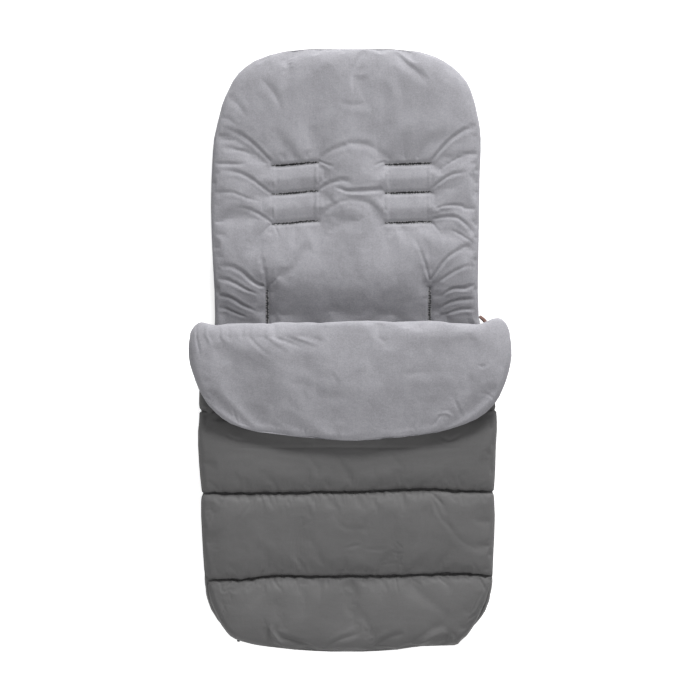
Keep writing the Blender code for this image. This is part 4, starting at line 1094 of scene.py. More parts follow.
APRON_VIEW = (188, 400, 4.747, 4.76)
APRON_FOLDS = (
    (4.0, 1.5, 0.05, 0.5, ((1148, 432), (1180, 465), (1218, 505))),
    (9.0, 0.9, 0.4, 0.25, ((1200, 500), (1240, 600), (1300, 670), (1395, 712))),
    (6.0, 0.9, 0.3, 0.5, ((1150, 440), (1200, 560), (1290, 640))),
    (3.5, 1.0, 0.05, 0.6, ((1200, 420), (1235, 400), (1270, 375))),
    (3.5, 0.9, 0.05, 0.6, ((1370, 425), (1395, 400), (1430, 380))),
    (4.0, 0.9, 0.05, 0.7, ((1385, 440), (1410, 470))),
    (9.0, 0.6, 0.4, 0.3, ((700, 240), (735, 310), (772, 385))),
    (9.0, 0.7, 0.4, 0.4, ((560, 230), (590, 290), (640, 350))),
    (9.0, 0.7, 0.4, 0.4, ((940, 230), (990, 290), (1030, 330))),
    (6.0, 1.3, 0.4, 0.4, ((170, 150), (220, 185), (290, 200))),
    (6.0, 1.2, 0.4, 0.4, ((1180, 160), (1240, 190), (1310, 150))),
    (3.5, 0.8, 0.2, 0.2, ((985, 668), (1005, 690), (1022, 700))),
    (3.5, 0.9, 0.3, 0.2, ((960, 715), (1000, 725), (1026, 722))),
    (5.0, 0.6, 0.4, 0.3, ((820, 700), (900, 705), (960, 700))),
    (3.5, 0.8, 0.3, 0.2, ((900, 785), (960, 772), (1018, 768))),
    (3.5, 1.0, 0.3, 0.2, ((985, 790), (1005, 778), (1020, 780))),
    (5.0, 0.9, 0.3, 0.4, ((740, 700), (780, 690), (830, 680))),
    (7.0, 0.5, 0.4, 0.4, ((690, 540), (740, 600), (830, 610), (900, 600))),
    (5.0, 0.9, 0.1, 0.6, ((180, 455), (130, 540), (110, 620))),
    (5.0, 0.8, 0.1, 0.6, ((330, 455), (250, 560), (190, 660))),
    (4.0, 0.9, 0.05, 0.6, ((130, 850), (160, 870), (170, 905), (240, 880))),
    (4.0, 1.3, 0.05, 0.5, ((100, 870), (120, 930), (150, 1010), (165, 1060))),
    (4.0, 1.1, 0.2, 0.4, ((185, 970), (165, 1010), (160, 1050))),
    (4.0, 1.0, 0.05, 0.6, ((215, 845), (190, 870), (155, 905))),
    (4.5, 1.0, 0.05, 0.7, ((400, 835), (430, 880), (470, 930))),
    (4.0, 0.8, 0.05, 0.7, ((655, 835), (665, 870), (668, 900))),
    (4.0, 0.8, 0.05, 0.7, ((775, 835), (778, 875))),
    (4.0, 0.9, 0.05, 0.7, ((985, 835), (990, 880), (1005, 940))),
    (4.0, 0.9, 0.05, 0.7, ((1050, 835), (1085, 860), (1120, 885))),
    (4.0, 1.0, 0.05, 0.7, ((1180, 830), (1215, 860), (1245, 885))),
    (4.0, 0.9, 0.05, 0.7, ((1300, 830), (1330, 850), (1370, 860))),
    (4.0, 1.5, 0.05, 0.3, ((1372, 830), (1395, 870), (1418, 920))),
    (4.0, 1.0, 0.05, 0.6, ((1385, 820), (1355, 780), (1330, 760))),
    (3.0, 0.9, 0.05, 0.6, ((1020, 822), (1060, 800), (1090, 790))),
    (3.0, 0.8, 0.05, 0.6, ((830, 828), (850, 810), (870, 800))),
    (3.0, 0.8, 0.05, 0.6, ((720, 830), (735, 812), (742, 800))),
    (3.0, 0.8, 0.05, 0.6, ((350, 830), (368, 805), (380, 795))),
    (3.0, 0.8, 0.05, 0.6, ((200, 845), (180, 815), (165, 800))),
    (10.0, -4.6, 0.2, 0.15, ((390, 1055), (405, 1110), (450, 1160), (540, 1188))),
    (8.0, 2.6, 0.3, 0.2, ((410, 1105), (520, 1140), (620, 1175))),
    (7.0, 2.0, 0.4, 0.2, ((640, 1170), (720, 1130), (830, 1095))),
    (7.0, 2.2, 0.4, 0.2, ((860, 1180), (930, 1130), (1030, 1095))),
    (10.0, -4.4, 0.3, 0.15, ((1010, 1185), (1090, 1160), (1160, 1115), (1240, 1092))),
    (8.0, 2.4, 0.3, 0.15, ((1130, 1186), (1190, 1160), (1250, 1120))),
    (5.0, 1.2, 0.2, 0.3, ((1245, 1090), (1270, 1120), (1275, 1150))),
    (3.5, 1.0, 0.2, 0.5, ((1395, 900), (1370, 950), (1340, 1010))),
    (3.5, 0.9, 0.2, 0.5, ((1400, 960), (1360, 1010), (1320, 1060))),
    (3.5, 0.8, 0.2, 0.5, ((1375, 1020), (1330, 1060), (1300, 1090))),
)


SEAM_YS = (-0.094, -0.2262, -0.3605)
# Distances of the rows beside a seam
SEAM_STEPS = (0.0003, 0.0009, 0.0016, 0.0024, 0.0034, 0.0047, 0.0063, 0.0082, 0.0105)

PANEL_STEP = 0.0019
LINING_STEP = 0.006
CLOTH_STEP = 0.0048
PANEL_COLUMNS = 361

# Grids with a longer step have no close rows, and they take every fourth column
FINE_STEP = 0.003
COARSER = 4

FOOT_SEAM = 2
SEAM_LENGTH = 0.48
CHANNEL_REACH = 0.13
FOOT_CHANNEL = 0.105
FOOT_FILL = 0.0055
DENT_Y = -0.154
DENT_DEPTH = 0.0090
CREASE_DEPTH = 0.0008
RISE_PAST_FLAP = 0.0060


def seam_paths():
    return [smooth_path(at_all(line), 4) for line in SEAM_LINES]


def panel_edges(rows):
    """Left and right edges of the panel, a little inside the apron's outline."""
    left, right = edges_at(APRON_ROWS, rows - PANEL_IN * ease((FOOT_ROUND_Y - rows) / 0.08))
    return left + PANEL_IN, right - PANEL_IN


def panel_rows(step):
    """Rows of the panel: close together beside each seam, and even round the foot's corners."""
    y = np.linspace(FOLD_Y, APRON_FOOT_Y + PANEL_IN, 3000)
    rows = even_rows(*panel_edges(y), y, step)
    if step > FINE_STEP:
        return rows
    for seam in SEAM_YS:
        close = [seam + side * near for near in SEAM_STEPS for side in (-1, 1)]
        rows = np.concatenate([rows[np.abs(rows - seam) > SEAM_STEPS[-1] + step * 0.6], close])
    return np.sort(rows)[::-1]


def panel_plan(rows, shares):
    """X and Y of the panel's grid, whose rows bend along the seams, and the distance from its edge."""
    x, y = grid_between(*panel_edges(rows), rows, shares)
    for seam, path in zip(SEAM_YS, seam_paths()):
        order = np.argsort(path[:, 0])
        there = np.interp(x, path[order, 0], path[order, 1])
        y = y + (there - seam) * ease((0.040 - np.abs(y - seam)) / 0.036)
    edge_rows = panel_rows(0.001)
    return x, y, edge_distance(x, y, outline_between(*panel_edges(edge_rows), edge_rows))


def quilting(x, y):
    """0 on a seam, rising to 1: at once beside the stitches, then slowly to the channel's middle."""
    share = np.ones(x.shape)
    for number, path in enumerate(seam_paths()):
        near, side, along = along_path(x, y, path, CHANNEL_REACH)
        near = np.minimum(near, CHANNEL_REACH)
        run, across = along * SEAM_LENGTH, side * 0.2
        uneven = 1 + 0.75 * noise(run, across, 0.006, 200 + number)
        uneven = uneven + 0.35 * noise(run, across, 0.022, 210 + number)
        close = np.clip(near - 0.0011 * np.clip(uneven, 0.1, 2.2), 0, 1)
        swell = rounded(near, 0.066)
        if number == FOOT_SEAM:
            # the foot channel's wadding is pushed against the foot edge
            swell = np.where(y < SEAM_YS[FOOT_SEAM], np.clip(near / FOOT_CHANNEL, 0, 1), swell)
        share = np.minimum(share, 0.50 * rounded(close, 0.0036) + 0.24 * rounded(close, 0.016) + 0.26 * swell)
    return share


def puckers(x, y):
    """Short gathers that cross each seam at a slant, different on every stretch of it."""
    total = np.zeros(x.shape)
    for number, path in enumerate(seam_paths()):
        near, side, along = along_path(x, y, path, 0.05)
        run, across = along * SEAM_LENGTH, side * 0.3
        slant = run + 0.55 * near * noise(run, side, 0.04, 40 + number)
        comb = crumple(slant, across, 0.0085, 50 + number) * 1.1
        comb += noise(slant, across, 0.0042, 60 + number) * 0.4
        reach = 0.004 + 0.014 * (0.5 + 0.5 * noise(run, side, 0.018, 70 + number)) ** 1.5
        total += comb * np.exp(-((near / reach) ** 1.5)) * (near < 0.045)
    return total


def panel_height(x, y, inside):
    """The quilted face: channels between the seams, gathers, folds, and the flap's weight on the top one."""
    edge = BORDER_TOP_Z - 0.0010
    full = FOLD_Z - 0.0009 - edge
    head = ease((y - (FOLD_Y - 0.01)) / 0.01)
    quilt = quilting(x, y)
    foot = ease((-0.34 - y) / 0.10)
    side = (0.55 + 0.3 * foot) * rounded(inside, 0.012)
    side = side + (0.45 - 0.3 * foot) * rounded(inside, 0.055 - 0.025 * foot)
    z = edge + full * side * (0.18 + 0.82 * quilt)
    soft = ease(inside / 0.014)
    lumps = 0.0018 * puckers(x, y) + 0.0007 * layered(x, y, 0.08, 31) + 0.00022 * layered(x, y, 0.02, 35)
    z += soft * lumps
    z += soft * 0.0005 * crumple(x, y, 0.034, 37, 0.5, 1.6) * quilt
    z += ease(inside / 0.006) * folds(x, y, APRON_FOLDS, APRON_VIEW)
    z += FOOT_FILL * np.clip((SEAM_YS[FOOT_SEAM] - y) / FOOT_CHANNEL, 0, 1) * rounded(inside, 0.022)
    # the flap's edge presses on the top channel
    z -= soft * DENT_DEPTH * bell(y - DENT_Y - 1.1 * x**2, 0.034)
    # a pressed crease across the top channel
    z -= CREASE_DEPTH * bell(np.abs(y - CREASE_Y), 0.0020) * ease((0.19 - np.abs(x)) / 0.03)
    # only the part under the flap has to stay below it
    z = np.minimum(z, FOLD_Z - 0.0004 + RISE_PAST_FLAP * ease((-0.150 - y) / 0.030))
    return np.maximum(z, edge - 0.0006) * (1 - head) + np.minimum(z, FOLD_Z - 0.0006) * head


def lining_height(inside):
    drop = BORDER_TOP_Z - LINING_Z
    return BORDER_TOP_Z - drop * ease((inside - 0.006) / 0.040)


def panel_moves(rows, shares):
    """Cloth moves of the panel, held at its edge and along the seams."""
    some_rows = panel_rows(CLOTH_STEP)
    for seam in SEAM_YS:
        some_rows[np.argmin(np.abs(some_rows - seam))] = seam
    some_shares = shares[::COARSER]
    x, y, inside = panel_plan(some_rows, some_shares)
    held = (inside < HELD_EDGE) | np.isin(some_rows, SEAM_YS)[:, None]
    held[[0, -1]] = held[:, [0, -1]] = True
    points = height_points(x, y, panel_height(x, y, inside))
    moved = relax(points, held.astype(float), *APRON_CLOTH)
    moved[some_rows > -0.110] *= 0.3
    return spread(moved[::-1], some_rows[::-1], some_shares, rows, shares)


def make_apron():
    rows, shares = panel_rows(PANEL_STEP), np.linspace(-1, 1, PANEL_COLUMNS)
    x, y, inside = panel_plan(rows, shares)
    inside[-1] = inside[:, 0] = inside[:, -1] = 0
    top = height_points(x, y, panel_height(x, y, inside))
    bottom = height_points(x, y, lining_height(inside) + 0.0022)
    top = top + panel_moves(rows, shares)
    quilt = slab("apron_quilt", top, bottom)
    waddings = [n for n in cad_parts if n.startswith("channel_wadding")]
    dress(quilt, SHELL, "apron", "shell_cloth", "apron_panel", *waddings)
    x, y, inside = panel_plan(panel_rows(LINING_STEP), shares[::COARSER])
    low = lining_height(inside) + 0.0006 * layered(x, y, 0.05, 81) * ease(inside / 0.03)
    low -= 0.0034 * (1 - ease(inside / 0.012))
    lining = slab("apron_lining_plush", height_points(x, y, low + 0.0014), height_points(x, y, low))
    dress(lining, PLUSH, "apron", "plush", "apron_lining")


# A border's section: shares of its reach outward and of its height, first the outer side, then the inner
BORDER_SECTION = (
    (0.05, 0), (0.24, 0.02), (0.43, 0.06), (0.63, 0.13), (0.8, 0.22), (0.93, 0.34), (1, 0.49), (0.98, 0.64),
    (0.9, 0.775), (0.78, 0.90), (0.617, 1), (0.50, 1.005), (0.43, 0.985), (0.57, 0.88), (0.7, 0.757),
    (0.79, 0.63), (0.8, 0.5), (0.74, 0.38), (0.654, 0.293), (0.50, 0.21), (0.34, 0.157), (0.05, 0.096),
)
OUTER_POINTS = 12
BORDER_HEIGHT = 0.028


def border_reach(spots):
    """How far a border stands out at places on the zip line, to just inside the photograph's outline."""
    side, foot = np.linspace(FOLD_Y, FOOT_ROUND_Y, 300), np.linspace(FOOT_ROUND_Y, APRON_FOOT_Y, 900)
    y = np.concatenate([side, foot])
    outline = outline_between(*edges_at(APRON_ROWS, y), y)
    return np.clip(edge_distance(spots[:, 0], spots[:, 1], outline) - 0.0016, 0.010, 0.026)


def make_borders():
    lines = (
        ("left", line_stations(SIDE_START, CORNER_LENGTH - 0.00015, -1)),
        ("right", line_stations(SIDE_START, CORNER_LENGTH - 0.00015, 1)),
        ("foot", foot_stations()),
    )
    for seed, (name, line) in enumerate(lines):
        spots = np.array([point for _, point, _ in line])
        runs = run_of(np.hypot(*np.diff(spots, axis=0).T))
        rings = []
        for (_, point, out), far, run in zip(line, border_reach(spots), runs):
            ring = []
            for index, (o, up) in enumerate(BORDER_SECTION):
                belly = math.sin(math.pi * min(up, 1)) * (1 if index < OUTER_POINTS else 0.6)
                wave = noise(np.array(run), np.array(up * 0.004), 0.010, 90 + seed)
                wave += 0.5 * noise(np.array(run), np.array(up * 0.006), 0.005, 95 + seed)
                push = 0.0006 * wave * belly
                ring.append((*(point + out * (o * far + push)), BORDER_BOTTOM_Z + BORDER_HEIGHT * up))
            rings.append(ring)
        dress(tube("border_" + name, rings), SHELL, "apron", "shell_cloth", "apron_border_" + name)


# Flap and the roll at the fold, one padded piece


FLAP_EDGE_Z = FOLD_Z + 0.0084
FLAP_TOP_Z = FOLD_Z + FOLD_RADIUS
FLAP_FOOT_Y = at(0, 439)[1]
FLAP_SLOPE_Y = -0.034
LUMP_SEED, CREASE_SEED = 111, 117
FLAP_STEP = 0.0017
FLAP_COLUMNS = 241
COLUMN_REACH = 0.96
FLAT_HALF_WIDTH = 0.200
DROOP_WIDTH = 0.056
FOLD_GAIN = 1.4
ROLL_POWER = 7
ROLL_ROWS = 36
HELD_ROLL_ROWS = 9


FLAP_VIEW = (180, 310, 4.41, 4.41)
FLAP_FOLDS = (
    (5.0, -1.6, 0.15, 0.5, ((395, 70), (470, 105), (560, 135), (640, 165))),
    (5.0, 1.3, 0.15, 0.5, ((360, 75), (420, 115), (500, 150), (580, 175))),
    (5.0, -1.2, 0.15, 0.6, ((330, 72), (380, 110), (440, 150), (520, 200))),
    (5.0, 1.1, 0.15, 0.6, ((270, 75), (310, 120), (360, 170), (430, 220))),
    (4.5, -1.4, 0.15, 0.5, ((225, 75), (245, 100), (265, 125))),
    (4.5, 1.2, 0.15, 0.5, ((240, 70), (275, 110), (300, 140))),
    (4.5, -1.4, 0.15, 0.5, ((165, 80), (190, 115), (215, 155))),
    (4.5, 1.2, 0.15, 0.5, ((180, 70), (215, 110), (240, 150))),
    (4.5, -1.1, 0.15, 0.5, ((100, 85), (125, 120), (150, 170))),
    (4.0, 1.0, 0.15, 0.5, ((75, 100), (85, 150), (100, 220))),
    (5.0, -0.9, 0.3, 0.5, ((520, 70), (600, 110), (680, 140))),
    (6.0, 0.9, 0.3, 0.5, ((820, 90), (890, 130), (930, 175))),
    (20.0, 0.7, 0.4, 0.4, ((370, 250), (430, 300), (560, 330), (700, 380))),
    (20.0, 0.8, 0.4, 0.4, ((560, 370), (680, 385), (800, 370))),
    (15.0, 0.8, 0.4, 0.4, ((930, 300), (1040, 275), (1180, 275))),
    (6.0, 0.8, 0.4, 0.4, ((660, 260), (690, 310), (700, 340))),
    (5.0, 1.2, 0.3, 0.3, ((1200, 380), (1225, 430), (1240, 480))),
    (4.5, 1.1, 0.3, 0.3, ((1160, 440), (1130, 480), (1120, 510))),
    (4.5, -1.0, 0.3, 0.3, ((1130, 460), (1170, 450), (1200, 470))),
    (4.5, 0.9, 0.3, 0.3, ((1310, 240), (1330, 250), (1340, 235))),
    (4.5, 1.0, 0.1, 0.6, ((130, 430), (150, 380), (190, 340))),
    (4.0, 0.9, 0.1, 0.6, ((260, 500), (240, 440), (240, 400))),
    (4.0, 0.8, 0.1, 0.6, ((560, 560), (550, 520), (575, 480))),
    (4.0, 0.7, 0.1, 0.6, ((420, 540), (425, 500))),
    (4.0, 0.8, 0.1, 0.6, ((690, 565), (700, 530))),
    (4.0, 0.8, 0.1, 0.6, ((1040, 550), (1030, 510), (1050, 470))),
    (4.0, 0.9, 0.1, 0.6, ((1390, 400), (1350, 370), (1300, 360))),
)


ROLL_EDGE = (
    (190.6, 337), (191.4, 333), (193, 329.5), (196, 325.6), (199.5, 323), (203, 322.3), (207, 323.2),
    (212, 324.8), (218, 325), (228, 324.3), (240, 324), (262, 323.6), (290, 323), (330, 322.2),
    (370, 321.8), (410, 322), (428, 321), (440, 321.2), (452, 322.6), (466, 323.4), (476, 324), (482, 323),
    (487, 320.8), (492, 318.8), (497, 318.2), (501, 319.6), (504.5, 323), (507, 328),
    (508.6, 333), (509.4, 337),
)


def roll_reach(x):
    """How far the roll stands out toward the head from the fold, along the photograph's uneven edge."""
    edge = at_all(ROLL_EDGE)
    return np.maximum(np.interp(x, edge[:, 0], edge[:, 1]) - FOLD_Y, 0.0006)


def flap_fall(y):
    """The flap rises a little from the roll, then falls toward its foot edge."""
    past = FLAP_SLOPE_Y - y
    run = np.linspace(0, 0.13, 261)
    slope = 0.125 * ease(run / 0.030) * (1 - 0.65 * ease((run - 0.050) / 0.045))
    return np.where(past < 0, -1.6 * past**2, -np.interp(past, run, run_of(slope[1:] * np.diff(run))))


def droop(x):
    """How far the flap hangs at its two ends."""
    return 0.008 * (np.clip(np.abs(x) - FLAT_HALF_WIDTH, 0, 1) / DROOP_WIDTH) ** 2


def flap_top(x, y, inside):
    """Height of the plush that faces out: puffed to its edge, falling to the foot, lumpy and creased."""
    edge = FLAP_EDGE_Z + 0.0012
    lumps = 0.0010 * layered(x, y, 0.07, LUMP_SEED) + 0.0004 * layered(x, y, 0.022, 115)
    soft = ease(inside / 0.014)
    rise = 0.66 * rounded(inside, 0.011) + 0.34 * rounded(inside, 0.045)
    top = edge + (FLAP_TOP_Z - edge) * rise - droop(x)
    top += flap_fall(y) * rounded(inside, 0.02)
    top += 0.0042 * hump(x + 0.125, 0.075, y - 0.002, 0.024) * soft
    lumps += 0.0005 * crumple(x, y, 0.036, CREASE_SEED, -0.5, 1.7)
    lumps *= 0.4 + 0.6 * ease((FOLD_Y - y) / 0.022)
    return top + soft * (lumps + FOLD_GAIN * folds(x, y, FLAP_FOLDS, FLAP_VIEW))


def roll_rows(columns, rise):
    """The roll: rows round the fold's axis, from the flap's top over the head side and under.

    rise is the height of the flap's first row over the fold's axis.
    """
    left, right = edges_at(FLAP_ROWS, FOLD_Y)
    x = left + (right - left) * (columns + 1) / 2
    thin = (1 - np.abs(columns) ** ROLL_POWER) ** (1 / ROLL_POWER)
    rows = []
    for turn in np.linspace(math.pi / 2, -math.pi / 2, ROLL_ROWS)[1:]:
        up = math.sin(turn)
        joined = ease((up + 0.4) / 1.4)
        radius = FOLD_RADIUS * np.maximum(thin, 0.10) * (1 - joined) + rise * joined
        y = FOLD_Y + roll_reach(x) * math.cos(turn) ** 0.9
        around = np.full(x.shape, FOLD_Y + FOLD_RADIUS * (math.pi / 2 - turn))
        lift = 0.0010 * layered(x, around, 0.07, LUMP_SEED)
        lift += 0.0008 * crumple(x, around, 0.036, CREASE_SEED, -0.5, 1.7)
        if turn > 0:
            seen_y = np.full(x.shape, FOLD_Y) + FOLD_RADIUS * math.cos(turn)
            lift = lift + FOLD_GAIN * folds(x, seen_y, FLAP_FOLDS, FLAP_VIEW)
        push = lift * (thin * (1 - joined))
        # the flap still slopes up from the roll here, so the roll starts at that slope
        slope = 3.2 * (FOLD_Y - FLAP_SLOPE_Y) * (y - FOLD_Y) * max(up, 0) ** 2
        z = FOLD_Z + radius * up + push * up - droop(x) * max(up, 0) - slope
        rows.append(np.stack([x, y + push * math.cos(turn), z], -1))
    return np.array(rows)


def make_flap():
    turns = np.linspace(-math.pi / 2, math.pi / 2, FLAP_COLUMNS) * COLUMN_REACH
    columns = np.sin(turns) / math.sin(math.pi / 2 * COLUMN_REACH)
    rows = rows_between(FLAP_ROWS, FOLD_Y, FLAP_FOOT_Y, FLAP_STEP)
    x, y = grid_between(*edges_at(FLAP_ROWS, rows), rows, columns)
    edge_y = np.linspace(FOLD_Y, FLAP_FOOT_Y, 600)
    inside = edge_distance(x, y, outline_between(*edges_at(FLAP_ROWS, edge_y), edge_y))
    inside[-1] = inside[:, 0] = inside[:, -1] = 0
    top = flap_top(x, y, inside)
    low = FLAP_EDGE_Z - 0.0062 * rounded(inside, 0.05) - droop(x)
    roll = roll_rows(columns, top[0] + droop(x)[0] - FOLD_Z)
    upper = height_points(x, y, top)[::-1]
    skin = np.concatenate([upper, roll])
    held = np.zeros(skin.shape[:2])
    held[0] = held[:, 0] = held[:, -1] = held[-HELD_ROLL_ROWS:] = 1
    skin = skin + relax_every(skin, held, 3, *FLAP_CLOTH)
    upper, roll = skin[: len(upper)], skin[len(upper):]
    under = height_points(x, y, np.minimum(low, top - 0.0012))
    wall = [under[0] * (1 - s) + roll[-1] * s for s in (0.66, 0.33)]
    # one closed loop per column: the top from the foot edge to the fold, the roll, the wall, the underside
    loop = np.concatenate([upper, roll, np.array(wall), under])
    flap = tube("flap_pad", loop.transpose(1, 0, 2))
    dress(flap, PLUSH, None, "plush", "flap_facing", "flap_wadding", "fold_lining", "fold_wadding")
    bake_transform(flap)
    # the dark underside, on every other line
    x, y, z = (values[::2, ::2] for values in (x, y, low))
    bottom = height_points(x, y, np.maximum(z - 0.0016, FOLD_Z + 0.0002 - droop(x)))
    shell = slab("flap_underside", height_points(x, y, z - 0.0002), bottom)
    dress(shell, SHELL, "flap", "shell_cloth", "flap_shell")


# Walls, zips and pulls

WALL_IN = -0.0037
WALL_BOTTOM = 0.0112
WALL_TOP = 0.03105
FOOT_WALL_TOP = 0.0445


def wall_rings(line, top, seed):
    rings = []
    for place, point, out in line:
        wave = 0.0007 * float(noise(np.array(place), np.array(0.0), 0.014, seed))
        section = (
            (WALL_IN, WALL_BOTTOM), (WALL_IN - 0.0001, 0.0155), (WALL_IN, 0.020), (WALL_IN + 0.0005, 0.026),
            (WALL_IN + 0.0009, top), (WALL_IN + 0.0029, top), (WALL_IN + 0.0027, 0.026),
            (WALL_IN + 0.0020, 0.020), (WALL_IN + 0.0021, 0.0155), (WALL_IN + 0.0020, WALL_BOTTOM),
        )
        waves = [wave * math.sin(math.pi * (z - WALL_BOTTOM) / (top - WALL_BOTTOM)) for _, z in section]
        rings.append([(*(point + out * (o + w)), z) for (o, z), w in zip(section, waves)])
    return rings


def make_walls():
    for seed, (name, side) in enumerate((("left", -1), ("right", 1))):
        line = line_stations(SIDE_START, CORNER_LENGTH, side)
        wall = tube("wall_" + name, wall_rings(line, WALL_TOP, 130 + seed))
        dress(wall, WALL_CLOTH, "back", "shell_cloth", "side_wall_" + name)
    wall = tube("wall_foot", wall_rings(foot_stations(), FOOT_WALL_TOP, 133))
    dress(wall, WALL_CLOTH, None, "shell_cloth", "foot_wall")
    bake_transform(wall)


TAIL_REACH_LEFT, TAIL_REACH_RIGHT = 0.0216, 0.012
TAIL_START = 0.002


def make_tails():
    """The moulded end past each zip end: the left one shows beyond the border."""
    for name, side, reach in (("left", -1, TAIL_REACH_LEFT), ("right", 1, TAIL_REACH_RIGHT)):
        middle, out = station(CORNER_LENGTH + 0.003, side)
        along = sideways(out)
        rings = []
        for share in np.linspace(0, 1, 9):
            centre = middle + out * (TAIL_START + (reach - TAIL_START) * share) + along * side * 0.001 * share
            half = 0.0040 * (1 - 0.45 * share)
            thick = 0.0010 * (1 - 0.5 * ease((share - 0.9) / 0.1))
            rise = ZIP_Z + 0.0012 * math.sin(2.2 * share)
            ring = []
            for a in circle(12):
                up = thick * np.sign(math.sin(a)) * abs(math.sin(a)) ** 0.5
                ring.append((*(centre + along * half * math.cos(a)), rise + up))
            rings.append(ring)
        dress(tube("zip_tail_" + name, rings), BLACK_PLASTIC, "back", "zip_plastic")


TOOTH_PITCH = 0.00254
TAPE_HALF = 0.00045
CHAIN_START = FOOT_ROUND_Y - 0.0088
CHAIN_END = CORNER_LENGTH - 0.0003

# A tooth's two blocks: half length, low and high end, half thickness, and how much wider it ends
TOOTH_BLOCKS = ((0.00082, 0.0010, 0.0036, 0.0013, 0.86), (0.00058, -0.0008, 0.0012, 0.0010, 1.35))
BLOCK_FACES = ((0, 3, 2, 1), (4, 5, 6, 7), (0, 1, 5, 4), (1, 2, 6, 5), (2, 3, 7, 6), (3, 0, 4, 7))


def make_zips():
    for name, side in (("left", -1), ("right", 1)):
        for part, up in (("back", -1), ("apron", 1)):
            near, far = ZIP_Z + up * 0.0039, ZIP_Z + up * 0.0100
            rings = []
            for place, point, out in line_stations(SIDE_START, CHAIN_END, side):
                wave = 0.00015 * float(noise(np.array(place), np.array(0.0), 0.012, 140 + up))
                section = ((-TAPE_HALF, near), (TAPE_HALF, near),
                           (TAPE_HALF + wave, far), (-TAPE_HALF + wave, far))
                rings.append([(*(point + out * o), z) for o, z in section])
            tape = tube(f"tape_{part}_{name}", rings)
            dress(tape, TAPE_CLOTH, part, "tape_cloth", f"zip_tape_{part}_{name}")
            make_teeth(name, side, part, up)


def make_teeth(name, side, part, up):
    """Moulded teeth at their real pitch on a corded edge, hooked past the chain's middle."""
    points, faces = [], []
    shift = TOOTH_PITCH / 2 if up > 0 else 0
    for number in range(int((CHAIN_END - CHAIN_START) / TOOTH_PITCH)):
        middle, out = station(CHAIN_START + shift + (number + 0.5) * TOOTH_PITCH, side)
        ahead = -side * sideways(out)
        for half, low, high, thick, taper in TOOTH_BLOCKS:
            base = len(points)
            for z, wide in ((low, half), (high, half * taper)):
                for a, o in ((-wide, -thick), (wide, -thick), (wide, thick), (-wide, thick)):
                    points.append((*(middle + ahead * a + out * o), ZIP_Z + up * z))
            faces.extend([tuple(base + i for i in quad) for quad in BLOCK_FACES])
    obj = quad_mesh(f"teeth_{part}_{name}", points, faces)
    cord = []
    for _, point, out in line_stations(CHAIN_START, CHAIN_END, side, 0.004):
        cord.append([(*(point + out * 0.0009 * math.cos(a)), ZIP_Z + up * (0.0031 + 0.0004 * math.sin(a)))
                     for a in circle(6)])
    rail = tube("rail", cord)
    bm = bmesh.new()
    bm.from_mesh(obj.data)
    bm.from_mesh(rail.data)
    bmesh.ops.recalc_face_normals(bm, faces=bm.faces)
    bm.to_mesh(obj.data)
    bm.free()
    bpy.data.objects.remove(rail)
    obj.data.set_sharp_from_angle(angle=math.radians(35))
    dress(obj, BLACK_PLASTIC, part, "zip_plastic", f"zip_teeth_{part}_{name}")


SOFT_EDGE = 0.00022


def make_hardware():
    """The CAD's small rigid pieces and its patches stay, with softened edges and their own materials."""
    kinds = {"slider": DARK_STEEL, "pull_tab": DARK_STEEL, "top_stop": DARK_STEEL, "zip_end": BLACK_PLASTIC,
             "grip_panel": GRIP_CLOTH}
    for name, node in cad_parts.items():
        material = next((kinds[kind] for kind in kinds if name.startswith(kind)), None)
        if not material:
            continue
        node.data.materials.clear()
        node.data.materials.append(material)
        bevel = node.modifiers.new("soft_edges", "BEVEL")
        bevel.width = SOFT_EDGE
        bevel.segments = 2
        bevel.limit_method = "ANGLE"
        node.data.shade_smooth()


# Half of a strap's section, across and through: the other half is this one turned round
STRAP_SECTION = ((-1, -0.5), (-0.96, -1), (-0.5, -1.06), (0, -1.08), (0.5, -1.06), (0.96, -1), (1, -0.5))


def strap(name, path, widths, thick, across):
    """A flat strap along a path of points, its width pointing across."""
    rings = []
    for index, point in enumerate(path):
        ahead = (path[min(index + 1, len(path) - 1)] - path[max(index - 1, 0)]).normalized()
        wide = across(index / (len(path) - 1))
        wide = (wide - ahead * wide.dot(ahead)).normalized()
        flat = ahead.cross(wide).normalized()
        half, thin = widths[index] / 2, thick / 2
        section = (*STRAP_SECTION, *((-u, -v) for u, v in STRAP_SECTION))
        rings.append([tuple(point + wide * (half * u) + flat * (thin * v)) for u, v in section])
    return tube(name, rings)


PULL_X = 0.22405
PULL_LEAN = math.radians(15)
PULL_WIDTH = 0.0072
PULL_THICKNESS = 0.0023
PULL_RISE = 0.004
PULL_TIP_POINTS = 3
RIGHT_PULL = ((PULL_X, 0.0185), (0.2246, 0.029), (0.2226, 0.0392), (0.2172, 0.0476), (0.2096, 0.0542))


def pull_path(side):
    """Where a pull lies: the right one stands up past the fold and curls in, the left one hangs down."""
    if side > 0:
        return smooth_path(RIGHT_PULL, 6)
    ahead = Vector((-math.sin(PULL_LEAN), -math.cos(PULL_LEAN)))
    origin = Vector((-PULL_X, 0.008)) + ahead * 0.0105
    return np.array([tuple(origin + ahead * 0.041 * s) for s in np.linspace(0, 1, 25)])


def pull_width(index, count):
    """It widens from the tab on and is rounded over its last points."""
    last = count - PULL_TIP_POINTS
    wide = 0.62 + 0.38 * ease(min(index / count * 6, 1))
    return PULL_WIDTH * wide * (1 if index < last else 0.9 - 0.16 * (index - last))


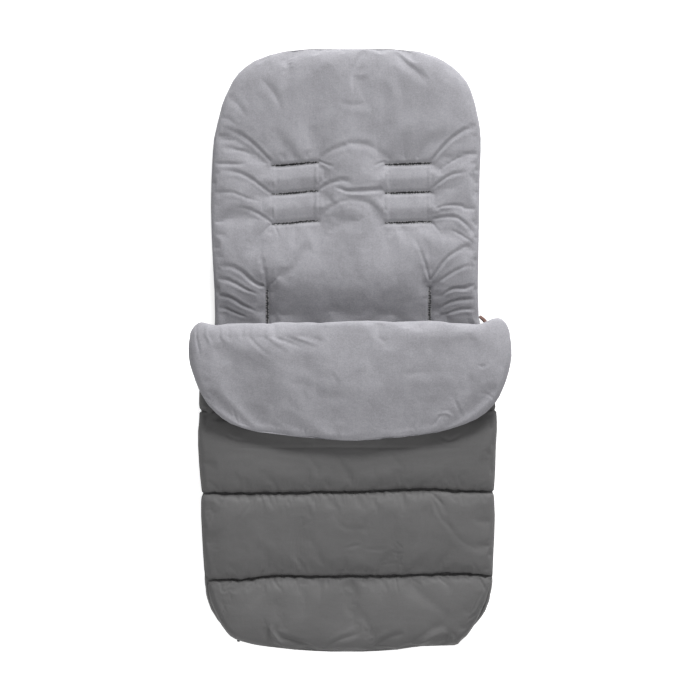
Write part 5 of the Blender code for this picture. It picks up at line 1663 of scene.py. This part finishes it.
def make_pulls():
    """Leather pulls: a strap folded through the tab, sewn to itself and curled by use."""
    for name, side, turn, curl in (("left", -1, 0.25, 0.2), ("right", 1, 0.8, 1)):
        points = [Vector((px, py, ZIP_Z)) for px, py in pull_path(side)]
        for index, point in enumerate(points):
            point.z += PULL_RISE * ease(index / len(points)) * curl
        widths = [pull_width(index, len(points)) for index in range(len(points))]

        def across(share, turn=turn, side=side):
            angle = turn * ease(share * 1.3)
            return Vector((-side * math.sin(angle), 0, math.cos(angle)))

        pull = strap("leather_pull_" + name, points, widths, PULL_THICKNESS, across)
        dress(pull, LEATHER, "pull_" + name, "brown_leather", "pull_loop_" + name)


make_hardware()
liner = make_back()
make_rear()
ground = ground_of(liner)
make_facings(ground)
make_overlock(ground)
make_apron()
make_borders()
make_flap()
make_walls()
make_zips()
make_tails()
make_pulls()


# Floor, light and camera

FLOOR_HALF = 6
FLOOR_Z = -0.0004
PLANE_Z = 0.05


def make_floor():
    mesh = bpy.data.meshes.new("floor")
    corners = [(x * FLOOR_HALF, y * FLOOR_HALF, FLOOR_Z) for x, y in ((-1, -1), (1, -1), (1, 1), (-1, 1))]
    mesh.from_pydata(corners, [], [(0, 1, 2, 3)])
    floor = placed("floor", mesh)
    n = Nodes("floor_paper")
    n.finish(Base_Color=(0.78, 0.78, 0.78, 1), Roughness=0.95, Emission_Color=(1, 1, 1, 1))
    glow = n.times(n.seen("Camera", "Glossy", "Transmission"), 0.68)
    n.link(glow, n.shader.inputs["Emission Strength"])
    mesh.materials.append(n.owner)


def make_light(name, place, size, power, target=(0, 0, PLANE_Z)):
    light = bpy.data.lights.new(name, "AREA")
    light.shape = "RECTANGLE"
    light.size, light.size_y = size
    light.energy = power
    obj = placed(name, light)
    obj.location = place
    obj.rotation_mode = "QUATERNION"
    obj.rotation_quaternion = (Vector(target) - Vector(place)).to_track_quat("-Z", "Y")
    obj.visible_camera = False


def make_world():
    """White where it is seen, and dimmer as a light."""
    world = bpy.data.worlds.new("studio")
    bpy.context.scene.world = world
    n = Nodes(world, "Background")
    n.link(n.ramp(n.seen("Camera", "Glossy"), 0, 1, 0.25, 1.0), n.shader.inputs["Strength"])
    n.finish(Color=(1, 1, 1, 1))


def make_camera():
    """Straight above, so that PLANE_Z is seen at the photograph's scale."""
    lens, sensor = 200.0, 36.0
    distance = FRAME_PIXELS * PIXEL / 2 / (sensor / 2 / lens)
    camera = placed("camera", bpy.data.cameras.new("camera"))
    camera.data.lens, camera.data.sensor_width = lens, sensor
    camera.location = (*at(FRAME_PIXELS / 2, FRAME_PIXELS / 2), distance + PLANE_Z)
    camera.data.clip_end = 50
    bpy.context.scene.camera = camera


make_floor()
make_world()
make_light("key", (1.30, 4.03, 2.25), (1.9, 1.3), 199)
make_light("rim", (0.9, 4.4, 0.95), (1.8, 0.7), 172)
make_light("foot", (-0.5, -2.9, 2.7), (2.0, 1.2), 60)
make_light("top", (0.4, 0.2, 4.2), (2.2, 2.2), 8)
make_camera()
bpy.context.scene.view_settings.view_transform = "Standard"
